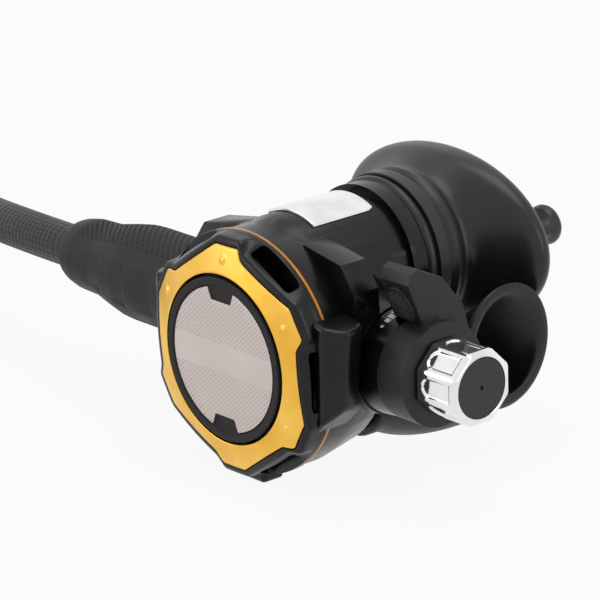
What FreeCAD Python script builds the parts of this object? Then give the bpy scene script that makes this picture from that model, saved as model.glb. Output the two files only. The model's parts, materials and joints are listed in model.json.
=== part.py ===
import FreeCAD, Part
import math
import os
import types
import Sketcher

# Second stage of a scuba regulator with its hose, in millimetres.
# X points along the valve barrel to the adjusting knob, Y from the purge button to the
# mouthpiece, Z up.  The origin lies in the middle of the flat foot under the front cover,
# in the plane where the cover, the trim ring and the case meet.

SIZES = {
    # axes
    "centre_height": 36.0,     # purge and barrel axes above the surface that the part stands on
    "barrel_depth": 23.0,      # barrel axis behind the seat plane
    "tube_rise": 16.0,         # mouth tube axis above the barrel axis
    # case
    "rim_radius": 33.6,
    "rim_depth": 8.0,
    "case_depth": 35.0,
    "case_wall": 2.4,
    "back_radius": 19.0,
    "chamber_radius": 28.8,
    "tube_radius": 19.5,
    "tube_bore": 16.2,
    "tube_end": 41.0,
    "end_ring_radius": 21.4,
    "end_ring_width": 5.0,
    "spigot_radius": 18.4,
    "spigot_length": 12.0,
    "boss_radius": 16.5,
    "boss_end_radius": 15.5,
    "boss_reach": 33.5,
    "port_radius": 12.0,
    "port_bore": 9.2,
    "port_height": 16.0,
    "port_end": 40.0,
    "spoke_width": 1.6,
    # front cover, bezel and trim ring
    "cover_radius": 34.1,
    "cover_apothem": 31.8,
    "cover_shoulder": 5.0,
    "cover_back": 0.5,
    "flange_thickness": 1.2,
    "well_radius": 23.5,
    "well_floor": 5.2,
    "floor_thickness": 1.5,
    "cup_radius": 13.2,
    "cup_depth": 3.0,
    "guide_bore": 7.6,
    "slot_length": 17.0,
    "slot_width": 4.4,
    "slot_front": 6.7,
    "ear_width": 36.0,
    "ear_drop": 20.0,
    "ear_reach": 39.9,
    "ear_back": 8.0,
    "foot_width": 18.0,
    "foot_length": 10.0,
    "bezel_hole": 23.84,
    "bezel_radius": 32.4,
    "bezel_apothem": 29.3,
    "bezel_front": 10.0,
    "bezel_thickness": 1.6,
    "bezel_slope": 2.6,
    "trim_radius": 34.1,
    "trim_inner": 32.0,
    # purge button and diaphragm
    "button_radius": 23.0,
    "button_front": 10.3,
    "button_back": 8.4,
    "plate_radius": 20.3,
    "plate_thickness": 0.5,
    "notch_width": 11.0,
    "notch_depth": 4.0,
    "push_radius": 7.0,
    "diaphragm_radius": 31.0,
    "diaphragm_thickness": 0.8,
    "disc_radius": 12.0,
    "disc_thickness": 0.85,
    "retainer_width": 1.5,
    "purge_wire": 0.8,
    "purge_coils": 3.0,
    # valve barrel and what it holds
    "barrel_radius": 7.5,
    "barrel_bore": 5.5,
    "barrel_right": 60.0,
    "flange_radius": 10.5,
    "flange_width": 3.4,
    "left_boss_reach": 38.0,
    "inlet_radius": 7.1,
    "inlet_length": 16.5,
    "air_bore": 2.6,
    "orifice_seat": 27.6,
    "orifice_length": 5.3,
    "orifice_bore": 2.2,
    "seat_radius": 3.6,
    "seat_thickness": 1.6,
    "head_length": 8.6,
    "stem_radius": 1.5,
    "stem_end": 26.0,
    "poppet_collar": 7.6,
    "poppet_collar_width": 1.6,
    "pad_face": 28.0,
    "pad_thickness": 2.9,
    "spring_wire": 0.8,
    "spring_coils": 7.0,
    "screw_length": 12.0,
    "screw_socket": 2.3,
    "saddle_width": 6.0,
    "saddle_radius": 9.0,
    "pivot_across": 8.0,
    "pivot_depth": 14.0,
    "pin_radius": 0.8,
    "lever_width": 6.8,
    # barrel collar, venturi lever and vane
    "collar_radius": 14.3,
    "collar_reach": 41.4,
    "hub_radius": 14.5,
    "hub_reach": 51.0,
    "sleeve_wall": 1.1,
    "vane_start": 12.0,
    "vane_width": 5.0,
    "vane_reach": 10.8,
    "arm_left": 37.0,
    "arm_right": 48.0,
    "arm_top": 28.2,
    "thumb_thickness": 1.0,
    # knob
    "knob_radius": 10.7,
    "knob_start": 51.5,
    "knob_end": 66.0,
    "knob_bore": 8.3,
    "knob_wall": 2.0,
    "cap_radius": 8.42,
    "cap_thickness": 1.5,
    "drive_radius": 2.2,
    "flute_depth": 0.8,
    # mouthpiece
    "mouthpiece_wall": 3.0,
    "neck_length": 12.5,
    "funnel_length": 12.0,
    "lip_half_width": 40.0,
    "lip_half_height": 25.0,
    "lip_thickness": 5.0,
    "bite_length": 14.0,
    "bite_width": 12.0,
    "bite_height": 13.0,
    "tie_width": 4.0,
    "tie_thickness": 1.3,
    "emblem_width": 18.5,
    "emblem_front": 15.4,
    "emblem_length": 21.6,
    "emblem_thickness": 1.0,
    # exhaust valve and deflector
    "valve_radius": 11.0,
    "valve_thickness": 0.8,
    "deflector_wall": 2.2,
    "deflector_depth": 12.5,
    "deflector_height": 14.4,
    "deflector_back": 48.0,
    "horn_reach": 40.0,
    "horn_depth": 15.0,
    "horn_height": 17.0,
    "horn_back": 58.0,
    "horn_rise": 33.0,
    # hose, its fittings and its rubber sleeve
    "hose_radius": 6.4,
    "ferrule_radius": 8.0,
    "ferrule_length": 21.0,
    "nut_flats": 17.5,
    "nut_wall": 1.8,
    "inlet_oring_section": 0.8,
    "sleeve_end": 105.0,
    "sleeve_tip_radius": 7.4,
    "sleeve_neck_radius": 10.6,
    "sleeve_radius": 14.0,
    "coil_radius": 66.0,
    "coil_turns": 1.19,
    "coil_gap": 0.6,
    "end_flats": 16.0,
    "end_hex_length": 8.0,
    "end_thread_radius": 4.76,
    "end_thread_length": 10.0,
    # clearances
    "seat_gap": 0.05,
    "running_gap": 0.08,
    "soft_gap": 0.3,
}

doc = FreeCAD.newDocument("second_stage")
sheet = doc.addObject("Spreadsheet::Sheet", "Sizes")


class Size:
    """A length that knows its value and the sheet formula that gives it."""

    def __init__(self, value, formula):
        self.value = value
        self.formula = formula

    def joined(self, other, sign, value):
        return Size(value, "(" + self.formula + sign + other.formula + ")")

    def __add__(self, other):
        other = as_size(other)
        return self.joined(other, " + ", self.value + other.value)

    def __sub__(self, other):
        other = as_size(other)
        return self.joined(other, " - ", self.value - other.value)

    def __mul__(self, other):
        other = as_size(other)
        return self.joined(other, " * ", self.value * other.value)

    def __truediv__(self, other):
        other = as_size(other)
        return self.joined(other, " / ", self.value / other.value)

    def __radd__(self, other):
        return as_size(other) + self

    def __rsub__(self, other):
        return as_size(other) - self

    def __rmul__(self, other):
        return as_size(other) * self

    def __neg__(self):
        return as_size(0) - self


def as_size(item):
    """A plain number as a Size, and a Size as itself."""
    if isinstance(item, Size):
        return item
    return Size(float(item), "(%.6f)" % item)


def sheet_sizes():
    """Writes the driving sizes into the sheet and returns them as named Sizes."""
    named = {}
    for row, (name, value) in enumerate(SIZES.items(), start=1):
        sheet.set("A%d" % row, name)
        sheet.set("B%d" % row, str(value))
        sheet.setAlias("B%d" % row, name)
        named[name] = Size(value, "Sizes." + name)
    doc.recompute()
    return types.SimpleNamespace(**named)


s = sheet_sizes()
VECTOR = FreeCAD.Vector
NO_TURN = FreeCAD.Rotation()
# rotations that lay a body turned about X, or a rod made along Z, on each axis
TURNED = {
    "x": NO_TURN,
    "y": FreeCAD.Rotation(VECTOR(0, 0, 1), 90),
    "z": FreeCAD.Rotation(VECTOR(0, 1, 0), -90),
}
ROD = {
    "x": FreeCAD.Rotation(VECTOR(0, 1, 0), 90),
    "y": FreeCAD.Rotation(VECTOR(1, 0, 0), -90),
    "z": NO_TURN,
}


# ---------------------------------------------------------------- building blocks

def bind(item, prop, size):
    size = as_size(size)
    setattr(item, prop, size.value)
    item.setExpression(prop, size.formula)


def place(item, at, turn=NO_TURN):
    """Moves an item to a bound point, with a fixed rotation."""
    base = [as_size(value) for value in at]
    item.Placement = FreeCAD.Placement(VECTOR(*[value.value for value in base]), turn)
    for letter, value in zip("xyz", base):
        item.setExpression("Placement.Base." + letter, value.formula)
    return item


def origin_plane(body, role):
    for feature in body.Origin.OriginFeatures:
        if feature.Role == role:
            return feature
    raise ValueError("no plane " + role)


def outline(body, name, role, points):
    """A closed sketch of straight lines whose corners are bound to the sheet."""
    sketch = body.newObject("Sketcher::SketchObject", name)
    sketch.AttachmentSupport = [(origin_plane(body, role), "")]
    sketch.MapMode = "FlatFace"
    corners = [(as_size(across), as_size(up)) for across, up in points]
    spots = [VECTOR(across.value, up.value, 0) for across, up in corners]
    count = len(spots)
    lines = [Part.LineSegment(spots[i], spots[(i + 1) % count]) for i in range(count)]
    sketch.addGeometry(lines, False)
    for i in range(count):
        sketch.addConstraint(Sketcher.Constraint("Coincident", i, 2, (i + 1) % count, 1))
    for i, corner in enumerate(corners):
        for kind, size in zip(("DistanceX", "DistanceY"), corner):
            index = sketch.addConstraint(Sketcher.Constraint(kind, -1, 1, i, 1, size.value))
            sketch.setExpression("Constraints[%d]" % index, size.formula)
    return sketch


def turned(label, axis, at, profile):
    """A lathe-turned body: profile points are (along the axis, radius)."""
    body = doc.addObject("PartDesign::Body", label)
    sketch = outline(body, label + "_profile", "XZ_Plane", profile)
    turn = body.newObject("PartDesign::Revolution", label + "_turn")
    turn.Profile = sketch
    turn.ReferenceAxis = (sketch, ["H_Axis"])
    turn.Angle = 360.0
    return place(body, at, TURNED[axis])


def ring(label, axis, at, start, end, inner, outer):
    return turned(label, axis, at, [(start, inner), (start, outer), (end, outer), (end, inner)])


def prism(label, role, at, points, length, turn=NO_TURN, back=False):
    """A padded outline, grown along +Z from XY_Plane, +X from YZ_Plane, -Y from XZ_Plane."""
    body = doc.addObject("PartDesign::Body", label)
    sketch = outline(body, label + "_outline", role, points)
    pad = body.newObject("PartDesign::Pad", label + "_pad")
    pad.Profile = sketch
    bind(pad, "Length", length)
    pad.Reversed = back
    return place(body, at, turn)


def rod(label, axis, at, radius, length):
    item = doc.addObject("Part::Cylinder", label)
    bind(item, "Radius", radius)
    bind(item, "Height", length)
    return place(item, at, ROD[axis])


def block(label, at, lengths, turn=NO_TURN):
    item = doc.addObject("Part::Box", label)
    for prop, length in zip(("Length", "Width", "Height"), lengths):
        bind(item, prop, length)
    return place(item, at, turn)


def torus(label, axis, at, radius, section):
    item = doc.addObject("Part::Torus", label)
    bind(item, "Radius1", radius)
    bind(item, "Radius2", section)
    return place(item, at, ROD[axis])


def fused(label, *pieces):
    item = doc.addObject("Part::MultiFuse", label)
    item.Shapes = list(pieces)
    return item


def shared(label, *pieces):
    item = doc.addObject("Part::MultiCommon", label)
    item.Shapes = list(pieces)
    return item


def cut(label, base, *tools):
    item = doc.addObject("Part::Cut", label)
    item.Base = base
    item.Tool = tools[0] if len(tools) == 1 else fused(label + "_tools", *tools)
    return item


def loft(label, sections):
    item = doc.addObject("Part::Loft", label)
    item.Sections = sections
    item.Solid = True
    item.Ruled = False
    return item


def oval(label, at, major, minor, turn):
    item = doc.addObject("Part::Ellipse", label)
    bind(item, "MajorRadius", major)
    bind(item, "MinorRadius", minor)
    return place(item, at, turn)


def hexagon(apothem):
    """Corner points of a hexagon with corners straight up and down."""
    corner = apothem * (2 / math.sqrt(3))
    half = corner * 0.5
    return [(0, corner), (apothem, half), (apothem, -half),
            (0, -corner), (-apothem, -half), (-apothem, half)]


def spring(label, axis, at, radius, wire, length, coils):
    """A round-wire compression spring; its sizes come from the sheet.

    Each half turn is flat and tilted, so that it meets the next one squarely.
    """
    item = doc.addObject("Part::Feature", label)
    rise = (length.value - 2 * wire.value) / coils.value / 2
    half = math.hypot(2 * radius.value, rise) / 2
    tilt = math.degrees(math.atan2(rise, 2 * radius.value))
    turns = []
    for count in range(round(2 * coils.value)):
        piece = Part.makeTorus(half, wire.value / 2, VECTOR(), VECTOR(0, 0, 1), 0, 360, 180)
        lean = tilt if count % 2 == 0 else -tilt
        piece.rotate(VECTOR(), VECTOR(0, 0, 1), 180 * (count % 2))
        piece.rotate(VECTOR(), VECTOR(0, 1, 0), lean)
        piece.translate(VECTOR(0, 0, rise * (count + 0.5)))
        turns.append(piece)
    item.Shape = turns[0].multiFuse(turns[1:]).removeSplitter()
    base = VECTOR(*[as_size(value).value for value in at])
    lift = ROD[axis].multVec(VECTOR(0, 0, wire.value))
    item.Placement = FreeCAD.Placement(base + lift, ROD[axis])
    return item


AXIS = (0, 0, s.centre_height)                      # purge axis, along Y
BARREL = (0, s.barrel_depth, s.centre_height)       # barrel and knob axis, along X
TUBE_HEIGHT = s.centre_height + s.tube_rise
MOUTH = (0, 0, TUBE_HEIGHT)                         # mouth tube axis, along Y
PORT = (0, 0, s.port_height)                        # exhaust port axis, along Y
SEAT = s.cover_back                                 # half of the trim ring's width


# ---------------------------------------------------------------- case and mouth tube

def case():
    """Bowl, mouth tube, barrel bosses and exhaust port in one moulding."""
    bowl = turned("case_bowl", "y", AXIS, [
        (SEAT, 0), (SEAT, s.rim_radius), (s.rim_depth, s.rim_radius),
        (s.rim_depth + 12, s.rim_radius - 2.1), (s.case_depth - 5, s.back_radius + 7),
        (s.case_depth, s.back_radius), (s.case_depth, 0)])
    spigot_end = s.tube_end + s.end_ring_width + s.spigot_length
    tube = turned("case_tube", "y", MOUTH, [
        (4, 0), (4, s.tube_radius - 2.5), (12, s.tube_radius),
        (s.tube_end, s.tube_radius), (s.tube_end, s.end_ring_radius),
        (s.tube_end + s.end_ring_width, s.end_ring_radius),
        (s.tube_end + s.end_ring_width, s.spigot_radius),
        (spigot_end, s.spigot_radius), (spigot_end, 0)])
    bosses = turned("case_bosses", "x", BARREL, [
        (-s.left_boss_reach, 0), (-s.left_boss_reach, s.collar_radius - 1),
        (-s.boss_reach, s.collar_radius - 1), (-s.boss_reach, s.boss_end_radius),
        (-24, s.boss_radius), (-16, s.boss_radius - 5.5),
        (16, s.boss_radius - 5.5), (24, s.boss_radius),
        (s.boss_reach, s.boss_end_radius), (s.boss_reach, 0)])
    port = rod("case_port", "y", (0, 18, s.port_height), s.port_radius, s.port_end - 18)
    shoulder_start = s.ear_back + s.soft_gap
    half = [(s.boss_reach - 3.5, 4), (s.boss_reach, 14), (s.boss_reach - 0.5, 21.5),
            (s.boss_reach - 5.5, 28.5), (14, 31)]
    mirrored = [(-across, up) for across, up in reversed(half)]
    shoulders = prism("case_shoulders", "XZ_Plane", (0, shoulder_start, s.centre_height),
                      half + mirrored, 17 - shoulder_start, back=True)
    solid = fused("case_solid", bowl, tube, bosses, port, shoulders)
    chamber = turned("case_chamber", "y", AXIS, [
        (SEAT - 1, 0), (SEAT - 1, s.diaphragm_radius + 0.2),
        (SEAT + 1, s.diaphragm_radius + 0.2), (SEAT + 1, s.chamber_radius + 0.4),
        (s.rim_depth + 11, s.chamber_radius), (s.case_depth - 6.5, s.back_radius + 5),
        (s.case_depth - s.case_wall, s.back_radius - 1.5), (s.case_depth - s.case_wall, 0)])
    lumen = rod("case_lumen", "y", (0, 22, TUBE_HEIGHT), s.tube_bore, spigot_end)
    left_bore = rod("case_left_bore", "x", (-60, s.barrel_depth, s.centre_height),
                    s.barrel_radius + s.seat_gap, 80)
    right_bore = rod("case_right_bore", "x", (10, s.barrel_depth, s.centre_height),
                     s.barrel_radius + s.sleeve_wall + 3 * s.running_gap, 50)
    outlet = rod("case_outlet", "y", (0, 15, s.port_height), s.port_bore, 40)
    shell = cut("case_shell", solid, chamber, lumen, left_bore, right_bore, outlet)
    spoke_start = s.port_end - 2
    across = block("case_spoke_across", (-s.port_bore - 1, spoke_start,
                                         s.port_height - s.spoke_width / 2),
                   (2 * s.port_bore + 2, 1.6, s.spoke_width))
    upright = block("case_spoke_up", (-s.spoke_width / 2, spoke_start,
                                      s.port_height - s.port_bore - 1),
                    (s.spoke_width, 1.6, 2 * s.port_bore + 2))
    hub = rod("case_port_hub", "y", (0, spoke_start, s.port_height), 2.6, 1.6)
    stem_hole = rod("case_stem_hole", "y", (0, spoke_start - 1, s.port_height), 1.3, 4)
    return cut("case", fused("case_spoked", shell, across, upright, hub), stem_hole)


def emblem_plate():
    """Bare curved plate on top of the mouth tube."""
    inner = s.tube_radius + s.seat_gap
    band = ring("emblem_band", "y", MOUTH, s.emblem_front, s.emblem_front + s.emblem_length,
                inner, inner + s.emblem_thickness)
    window = block("emblem_window", (-s.emblem_width / 2, 0, TUBE_HEIGHT + 5),
                   (s.emblem_width, 60, s.tube_radius))
    return shared("emblem_plate", band, window)


# ---------------------------------------------------------------- front cover

def front_cover():
    """Hexagonal front cover: button well, spring cup, water slots, ears and foot."""
    cup_floor = s.well_floor - s.cup_depth
    under = s.well_floor - s.floor_thickness
    front = s.bezel_front - s.bezel_thickness - 0.1
    dish = turned("cover_dish", "y", AXIS, [
        (-front, s.well_radius), (s.bezel_slope - front, s.bezel_radius),
        (-s.cover_shoulder, s.cover_radius), (-s.cover_back, s.cover_radius),
        (-s.cover_back, s.diaphragm_radius - 1.6), (-under, s.diaphragm_radius - 1.6),
        (-under, s.cup_radius + 1.2), (1 - cup_floor, s.cup_radius + 1.2),
        (1 - cup_floor, s.guide_bore), (-cup_floor, s.guide_bore),
        (-cup_floor, s.cup_radius), (-s.well_floor, s.cup_radius),
        (-s.well_floor, s.well_radius)])
    flange_front = s.cover_back + s.flange_thickness
    six_sides = prism("cover_six_sides", "XZ_Plane", (0, -12, s.centre_height),
                      hexagon(s.cover_apothem), 12 - flange_front, back=True)
    flange = rod("cover_flange", "y", (0, -flange_front, s.centre_height),
                 s.cover_radius + 1, flange_front)
    body = shared("cover_body", dish, fused("cover_limits", six_sides, flange))
    ears = []
    clear = rod("cover_case_clearance", "y", (0, -s.cover_back, s.centre_height),
                s.cover_radius + s.soft_gap, 30)
    for side, sign in (("right", 1), ("left", -1)):
        points = [(sign * across, along) for across, along in (
            (30, -s.cover_shoulder + 0.4), (s.ear_reach - 5, -s.cover_shoulder + 0.4),
            (s.ear_reach, 0.3), (s.ear_reach - 0.9, s.ear_back - 2.5),
            (s.ear_reach - 3, s.ear_back), (30, s.ear_back))]
        ears.append(prism("cover_ear_" + side, "XY_Plane",
                          (0, 0, s.centre_height - s.ear_drop), points, s.ear_width))
    foot = block("cover_foot", (-s.foot_width / 2, -s.foot_length / 2, 0),
                 (s.foot_width, s.foot_length, 5))
    outside = cut("cover_outside", fused("cover_lugs", foot, *ears), clear)
    slots = []
    for index in range(6):
        turn = FreeCAD.Rotation(VECTOR(0, 1, 0), 60 * index)
        reach = VECTOR(24.9, -s.slot_front.value, -s.slot_length.value / 2)
        slot = doc.addObject("Part::Box", "cover_slot_%d" % index)
        bind(slot, "Length", 20)
        bind(slot, "Width", s.slot_width)
        bind(slot, "Height", s.slot_length)
        centre = VECTOR(0, 0, s.centre_height.value)
        slot.Placement = FreeCAD.Placement(centre + turn.multVec(reach), turn)
        slots.append(slot)
    return cut("front_cover", fused("cover_whole", body, outside), *slots)


def bezel_plate():
    """Shallow conical hexagonal plate round the button."""
    edge = s.bezel_front - s.bezel_slope
    cone = turned("bezel_cone", "y", AXIS, [
        (-s.bezel_front, s.bezel_hole), (-edge, s.bezel_radius),
        (s.bezel_thickness - edge, s.bezel_radius),
        (s.bezel_thickness - s.bezel_front, s.bezel_hole)])
    sides = prism("bezel_sides", "XZ_Plane", (0, -14, s.centre_height),
                  hexagon(s.bezel_apothem), 12, back=True)
    return shared("bezel_plate", cone, sides)


def trim_ring():
    return ring("trim_ring", "y", AXIS, s.seat_gap - SEAT, SEAT - s.seat_gap,
                s.trim_inner, s.trim_radius)


# ---------------------------------------------------------------- purge button and diaphragm

def purge_button():
    face = s.button_front - 0.7
    return turned("purge_button", "y", AXIS, [
        (-face, 0), (-face, s.plate_radius + 0.3), (-s.button_front, s.plate_radius + 0.8),
        (-s.button_front, s.button_radius - 0.3), (-face, s.button_radius),
        (-s.button_back, s.button_radius), (-s.button_back, s.push_radius),
        (SEAT - s.soft_gap, s.push_radius), (SEAT - s.soft_gap, 0)])


def purge_plate():
    """Thin steel face plate with a notch at top and bottom."""
    face = s.button_front - 0.7
    disc = rod("plate_disc", "y", (0, -face - s.plate_thickness, s.centre_height),
               s.plate_radius, s.plate_thickness)
    notches = []
    for side, sign in (("top", 1), ("bottom", -1)):
        low = sign * (s.plate_radius - s.notch_depth)
        high = sign * (s.plate_radius + 2)
        half = s.notch_width / 2
        notches.append(prism("plate_notch_" + side, "XZ_Plane", (0, -14, s.centre_height),
                             [(half - 1.5, low), (half + 0.8, high),
                              (-half - 0.8, high), (1.5 - half, low)], 10, back=True))
    return cut("purge_plate", disc, *notches)


def purge_spring():
    cup_floor = s.well_floor - s.cup_depth
    length = s.button_back - cup_floor
    at = (0, -s.button_back, s.centre_height)
    return spring("purge_spring", "y", at, s.cup_radius - 1.6, s.purge_wire,
                  length, s.purge_coils)


def diaphragm():
    start = SEAT + 0.1
    return ring_or_disc("diaphragm", start, start + s.diaphragm_thickness, s.diaphragm_radius)


def ring_or_disc(label, start, end, radius):
    return rod(label, "y", (0, start, s.centre_height), radius, end - start)


def diaphragm_disc():
    start = SEAT + 0.1 + s.diaphragm_thickness + s.seat_gap
    return ring_or_disc("diaphragm_disc", start, start + s.disc_thickness, s.disc_radius)


def diaphragm_retainer():
    return ring("diaphragm_retainer", "y", AXIS, s.seat_gap - SEAT, SEAT + 0.1 - s.seat_gap,
                s.diaphragm_radius - s.retainer_width, s.diaphragm_radius)


# ---------------------------------------------------------------- valve barrel

FLANGE_END = -s.left_boss_reach - s.seat_gap - s.flange_width
INLET_END = FLANGE_END - s.inlet_length
CLIP_START = s.knob_start + 2.8


def valve_barrel():
    """Metal tube that crosses the case and carries the valve."""
    shoulder = -s.orifice_seat - s.orifice_length
    tube = turned("barrel_tube", "x", BARREL, [
        (INLET_END, s.air_bore), (INLET_END, s.inlet_radius), (FLANGE_END, s.inlet_radius),
        (FLANGE_END, s.flange_radius), (FLANGE_END + s.flange_width, s.flange_radius),
        (FLANGE_END + s.flange_width, s.barrel_radius),
        (CLIP_START, s.barrel_radius), (CLIP_START, s.barrel_radius - 0.5),
        (CLIP_START + 0.9, s.barrel_radius - 0.5), (CLIP_START + 0.9, s.barrel_radius),
        (s.barrel_right, s.barrel_radius), (s.barrel_right, s.barrel_bore),
        (shoulder, s.barrel_bore), (shoulder, s.air_bore)])
    lever_slot = block("barrel_lever_slot",
                       (s.pivot_across - 4, s.barrel_depth - 10,
                        s.centre_height - s.lever_width / 2 - 0.6),
                       (7.5, 7, s.lever_width + 1.2))
    air_hole = rod("barrel_air_hole", "y", (-8, s.barrel_depth, s.centre_height), 2.4, 12)
    return cut("valve_barrel", tube, lever_slot, air_hole)


def orifice():
    start = -s.orifice_seat - s.orifice_length + s.seat_gap
    outer = s.barrel_bore - s.seat_gap
    return turned("orifice", "x", BARREL, [
        (start, s.orifice_bore), (start, outer), (start + 1.2, outer),
        (start + 1.2, outer - 1.2), (start + 2.8, outer - 1.2), (start + 2.8, outer),
        (-s.orifice_seat - 0.9, outer), (-s.orifice_seat, s.orifice_bore + 0.5),
        (-s.orifice_seat, s.orifice_bore)])


def orifice_oring():
    start = -s.orifice_seat - s.orifice_length + s.seat_gap
    section = 0.58
    return torus("orifice_oring", "x", (start + 2.0, s.barrel_depth, s.centre_height),
                 s.barrel_bore - s.seat_gap - section, section)


def inlet_oring():
    section = s.inlet_oring_section
    return torus("inlet_oring", "x", (INLET_END - section - s.seat_gap, s.barrel_depth,
                                      s.centre_height), s.air_bore + 1.2 + section, section)


def poppet():
    head = -s.orifice_seat + s.soft_gap + s.seat_thickness + s.seat_gap
    collar_end = s.poppet_collar + s.poppet_collar_width
    return turned("poppet", "x", BARREL, [
        (head, 0), (head, s.barrel_bore - s.soft_gap),
        (head + s.head_length, s.barrel_bore - s.soft_gap),
        (head + s.head_length, s.stem_radius), (s.poppet_collar, s.stem_radius),
        (s.poppet_collar, s.barrel_bore - 0.5), (collar_end, s.barrel_bore - 0.5),
        (collar_end, s.stem_radius), (s.stem_end, s.stem_radius), (s.stem_end, 0)])


def poppet_seat():
    start = -s.orifice_seat + s.soft_gap
    return rod("poppet_seat", "x", (start, s.barrel_depth, s.centre_height),
               s.seat_radius, s.seat_thickness)


def poppet_spring():
    start = s.poppet_collar + s.poppet_collar_width + s.seat_gap
    at = (start, s.barrel_depth, s.centre_height)
    return spring("poppet_spring", "x", at, s.barrel_bore - 1.3, s.spring_wire,
                  s.pad_face - start, s.spring_coils)


def spring_pad():
    return turned("spring_pad", "x", BARREL, [
        (s.pad_face, 0), (s.pad_face, s.barrel_bore - s.soft_gap),
        (s.pad_face + s.pad_thickness, s.barrel_bore - s.soft_gap),
        (s.pad_face + s.pad_thickness, 0)])


def adjusting_screw():
    start = s.pad_face + s.pad_thickness + s.seat_gap
    end = start + s.screw_length
    outer = s.barrel_bore - s.running_gap
    return turned("adjusting_screw", "x", BARREL, [
        (start, 0), (start, outer), (end - 2.9, outer), (end - 2.9, outer - 1.15),
        (end - 1.5, outer - 1.15), (end - 1.5, outer), (end, outer),
        (end, s.screw_socket), (start + 2, s.screw_socket), (start + 2, 0)])


def screw_oring():
    end = s.pad_face + s.pad_thickness + s.seat_gap + s.screw_length
    section = 0.55
    return torus("screw_oring", "x", (end - 2.2, s.barrel_depth, s.centre_height),
                 s.barrel_bore - s.running_gap - section, section)


def lever_saddle():
    """Clip round the barrel that holds the demand lever's pin in two ears."""
    start = s.pivot_across - s.saddle_width / 2
    half = s.lever_width / 2 + 0.8
    band = ring("saddle_band", "x", BARREL, start, start + s.saddle_width,
                s.barrel_radius + s.seat_gap, s.saddle_radius)
    ears = []
    for side, low in (("upper", half), ("lower", -half - 1.4)):
        ears.append(block("saddle_ear_" + side,
                          (s.pivot_across - 2, s.pivot_depth - 1.8, s.centre_height + low),
                          (4, 4.2, 1.4)))
    bore = rod("saddle_bore", "x", (start - 1, s.barrel_depth, s.centre_height),
               s.barrel_radius + s.seat_gap, s.saddle_width + 2)
    gap = block("saddle_gap", (start - 1, s.pivot_depth - 4, s.centre_height - half),
                (s.saddle_width + 2, 7, 2 * half))
    pin_hole = rod("saddle_pin_hole", "z", (s.pivot_across, s.pivot_depth, 0),
                   s.pin_radius + 0.02, 2 * s.centre_height)
    return cut("lever_saddle", fused("saddle_solid", band, *ears), bore, gap, pin_hole)


def lever_pin():
    half = s.lever_width / 2 + 2.2
    return rod("lever_pin", "z", (s.pivot_across, s.pivot_depth, s.centre_height - half),
               s.pin_radius, 2 * half)


def demand_lever():
    """Bell crank: the diaphragm pushes its tip and its foot draws the poppet back."""
    across = s.pivot_across
    deep = s.pivot_depth
    blank = prism("demand_blank", "XY_Plane",
                  (0, 0, s.centre_height - s.lever_width / 2),
                  [(across + 1.6, deep - 1.4), (across + 1.6, deep + 1.4),
                   (across - 0.7, deep + 2.0), (across - 0.7, deep + 6.6),
                   (across - 2.1, deep + 6.6), (across - 1.6, deep + 1.6),
                   (across - 2.1, deep - 0.1), (across - 17.2, deep - 9.1),
                   (across - 18.9, deep - 9.6), (across - 18.9, deep - 11.1),
                   (across - 17.0, deep - 11.1), (across - 0.8, deep - 2.2)],
                  s.lever_width)
    hole = rod("demand_hole", "z", (across, deep, 0), s.pin_radius + s.running_gap,
               2 * s.centre_height)
    return cut("demand_lever", blank, hole)


# ---------------------------------------------------------------- collar, venturi lever, vane

HUB_START = s.collar_reach + s.soft_gap
VANE_OUTER = s.barrel_radius + s.running_gap + s.sleeve_wall
ARM_FOOT = (as_size(-3), s.hub_radius - 2.5)        # ends of the arm's front face,
ARM_TIP = (as_size(-9), s.arm_top - 2.2)            # measured from the barrel axis


def barrel_collar():
    """Fixed collar that carries the printed scale beside the lever."""
    return turned("barrel_collar", "x", BARREL, [
        (s.boss_reach + s.seat_gap, VANE_OUTER + s.running_gap),
        (s.boss_reach + s.seat_gap, s.collar_radius + 0.7),
        (s.collar_reach, s.collar_radius), (s.collar_reach, VANE_OUTER + s.running_gap)])


def venturi_lever():
    """Hub ring that turns on the barrel, with a thumb arm."""
    bore = s.barrel_radius + s.running_gap
    hub = ring("venturi_hub", "x", BARREL, HUB_START, s.hub_reach, bore, s.hub_radius)
    top = s.arm_top
    arm = prism("venturi_arm", "YZ_Plane",
                (s.arm_left, s.barrel_depth, s.centre_height),
                [ARM_FOOT, ARM_TIP, (-8, top + 0.6), (-5.5, top + 1.6), (-2.6, top),
                 (3.1, top - 2.4), (10.5, top - 11.7), (13.5, 6), (8, 0), (-3, 2)],
                s.arm_right - s.arm_left)
    over_collar = rod("venturi_over_collar", "x",
                      (s.arm_left - 5, s.barrel_depth, s.centre_height),
                      s.collar_radius + 0.9, HUB_START - s.arm_left + 5)
    bore_cut = rod("venturi_bore", "x", (s.arm_left - 5, s.barrel_depth, s.centre_height),
                   bore, 40)
    return cut("venturi_lever", fused("venturi_solid", hub, arm), over_collar, bore_cut)


def thumb_pad():
    """Soft grip pad on the front face of the lever arm."""
    forward = ARM_FOOT[0] - ARM_TIP[0]
    rise = ARM_TIP[1] - ARM_FOOT[1]
    lean = math.atan2(forward.value, rise.value)
    share = 0.2
    stand_off = s.thumb_thickness + s.seat_gap
    foot = (s.arm_left + 1.2,
            s.barrel_depth + ARM_FOOT[0] - forward * share - stand_off * math.cos(lean),
            s.centre_height + ARM_FOOT[1] + rise * share - stand_off * math.sin(lean))
    return block("thumb_pad", foot,
                 (s.arm_right - s.arm_left - 2.4, s.thumb_thickness, rise * 0.78),
                 FreeCAD.Rotation(VECTOR(1, 0, 0), math.degrees(lean)))


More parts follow.
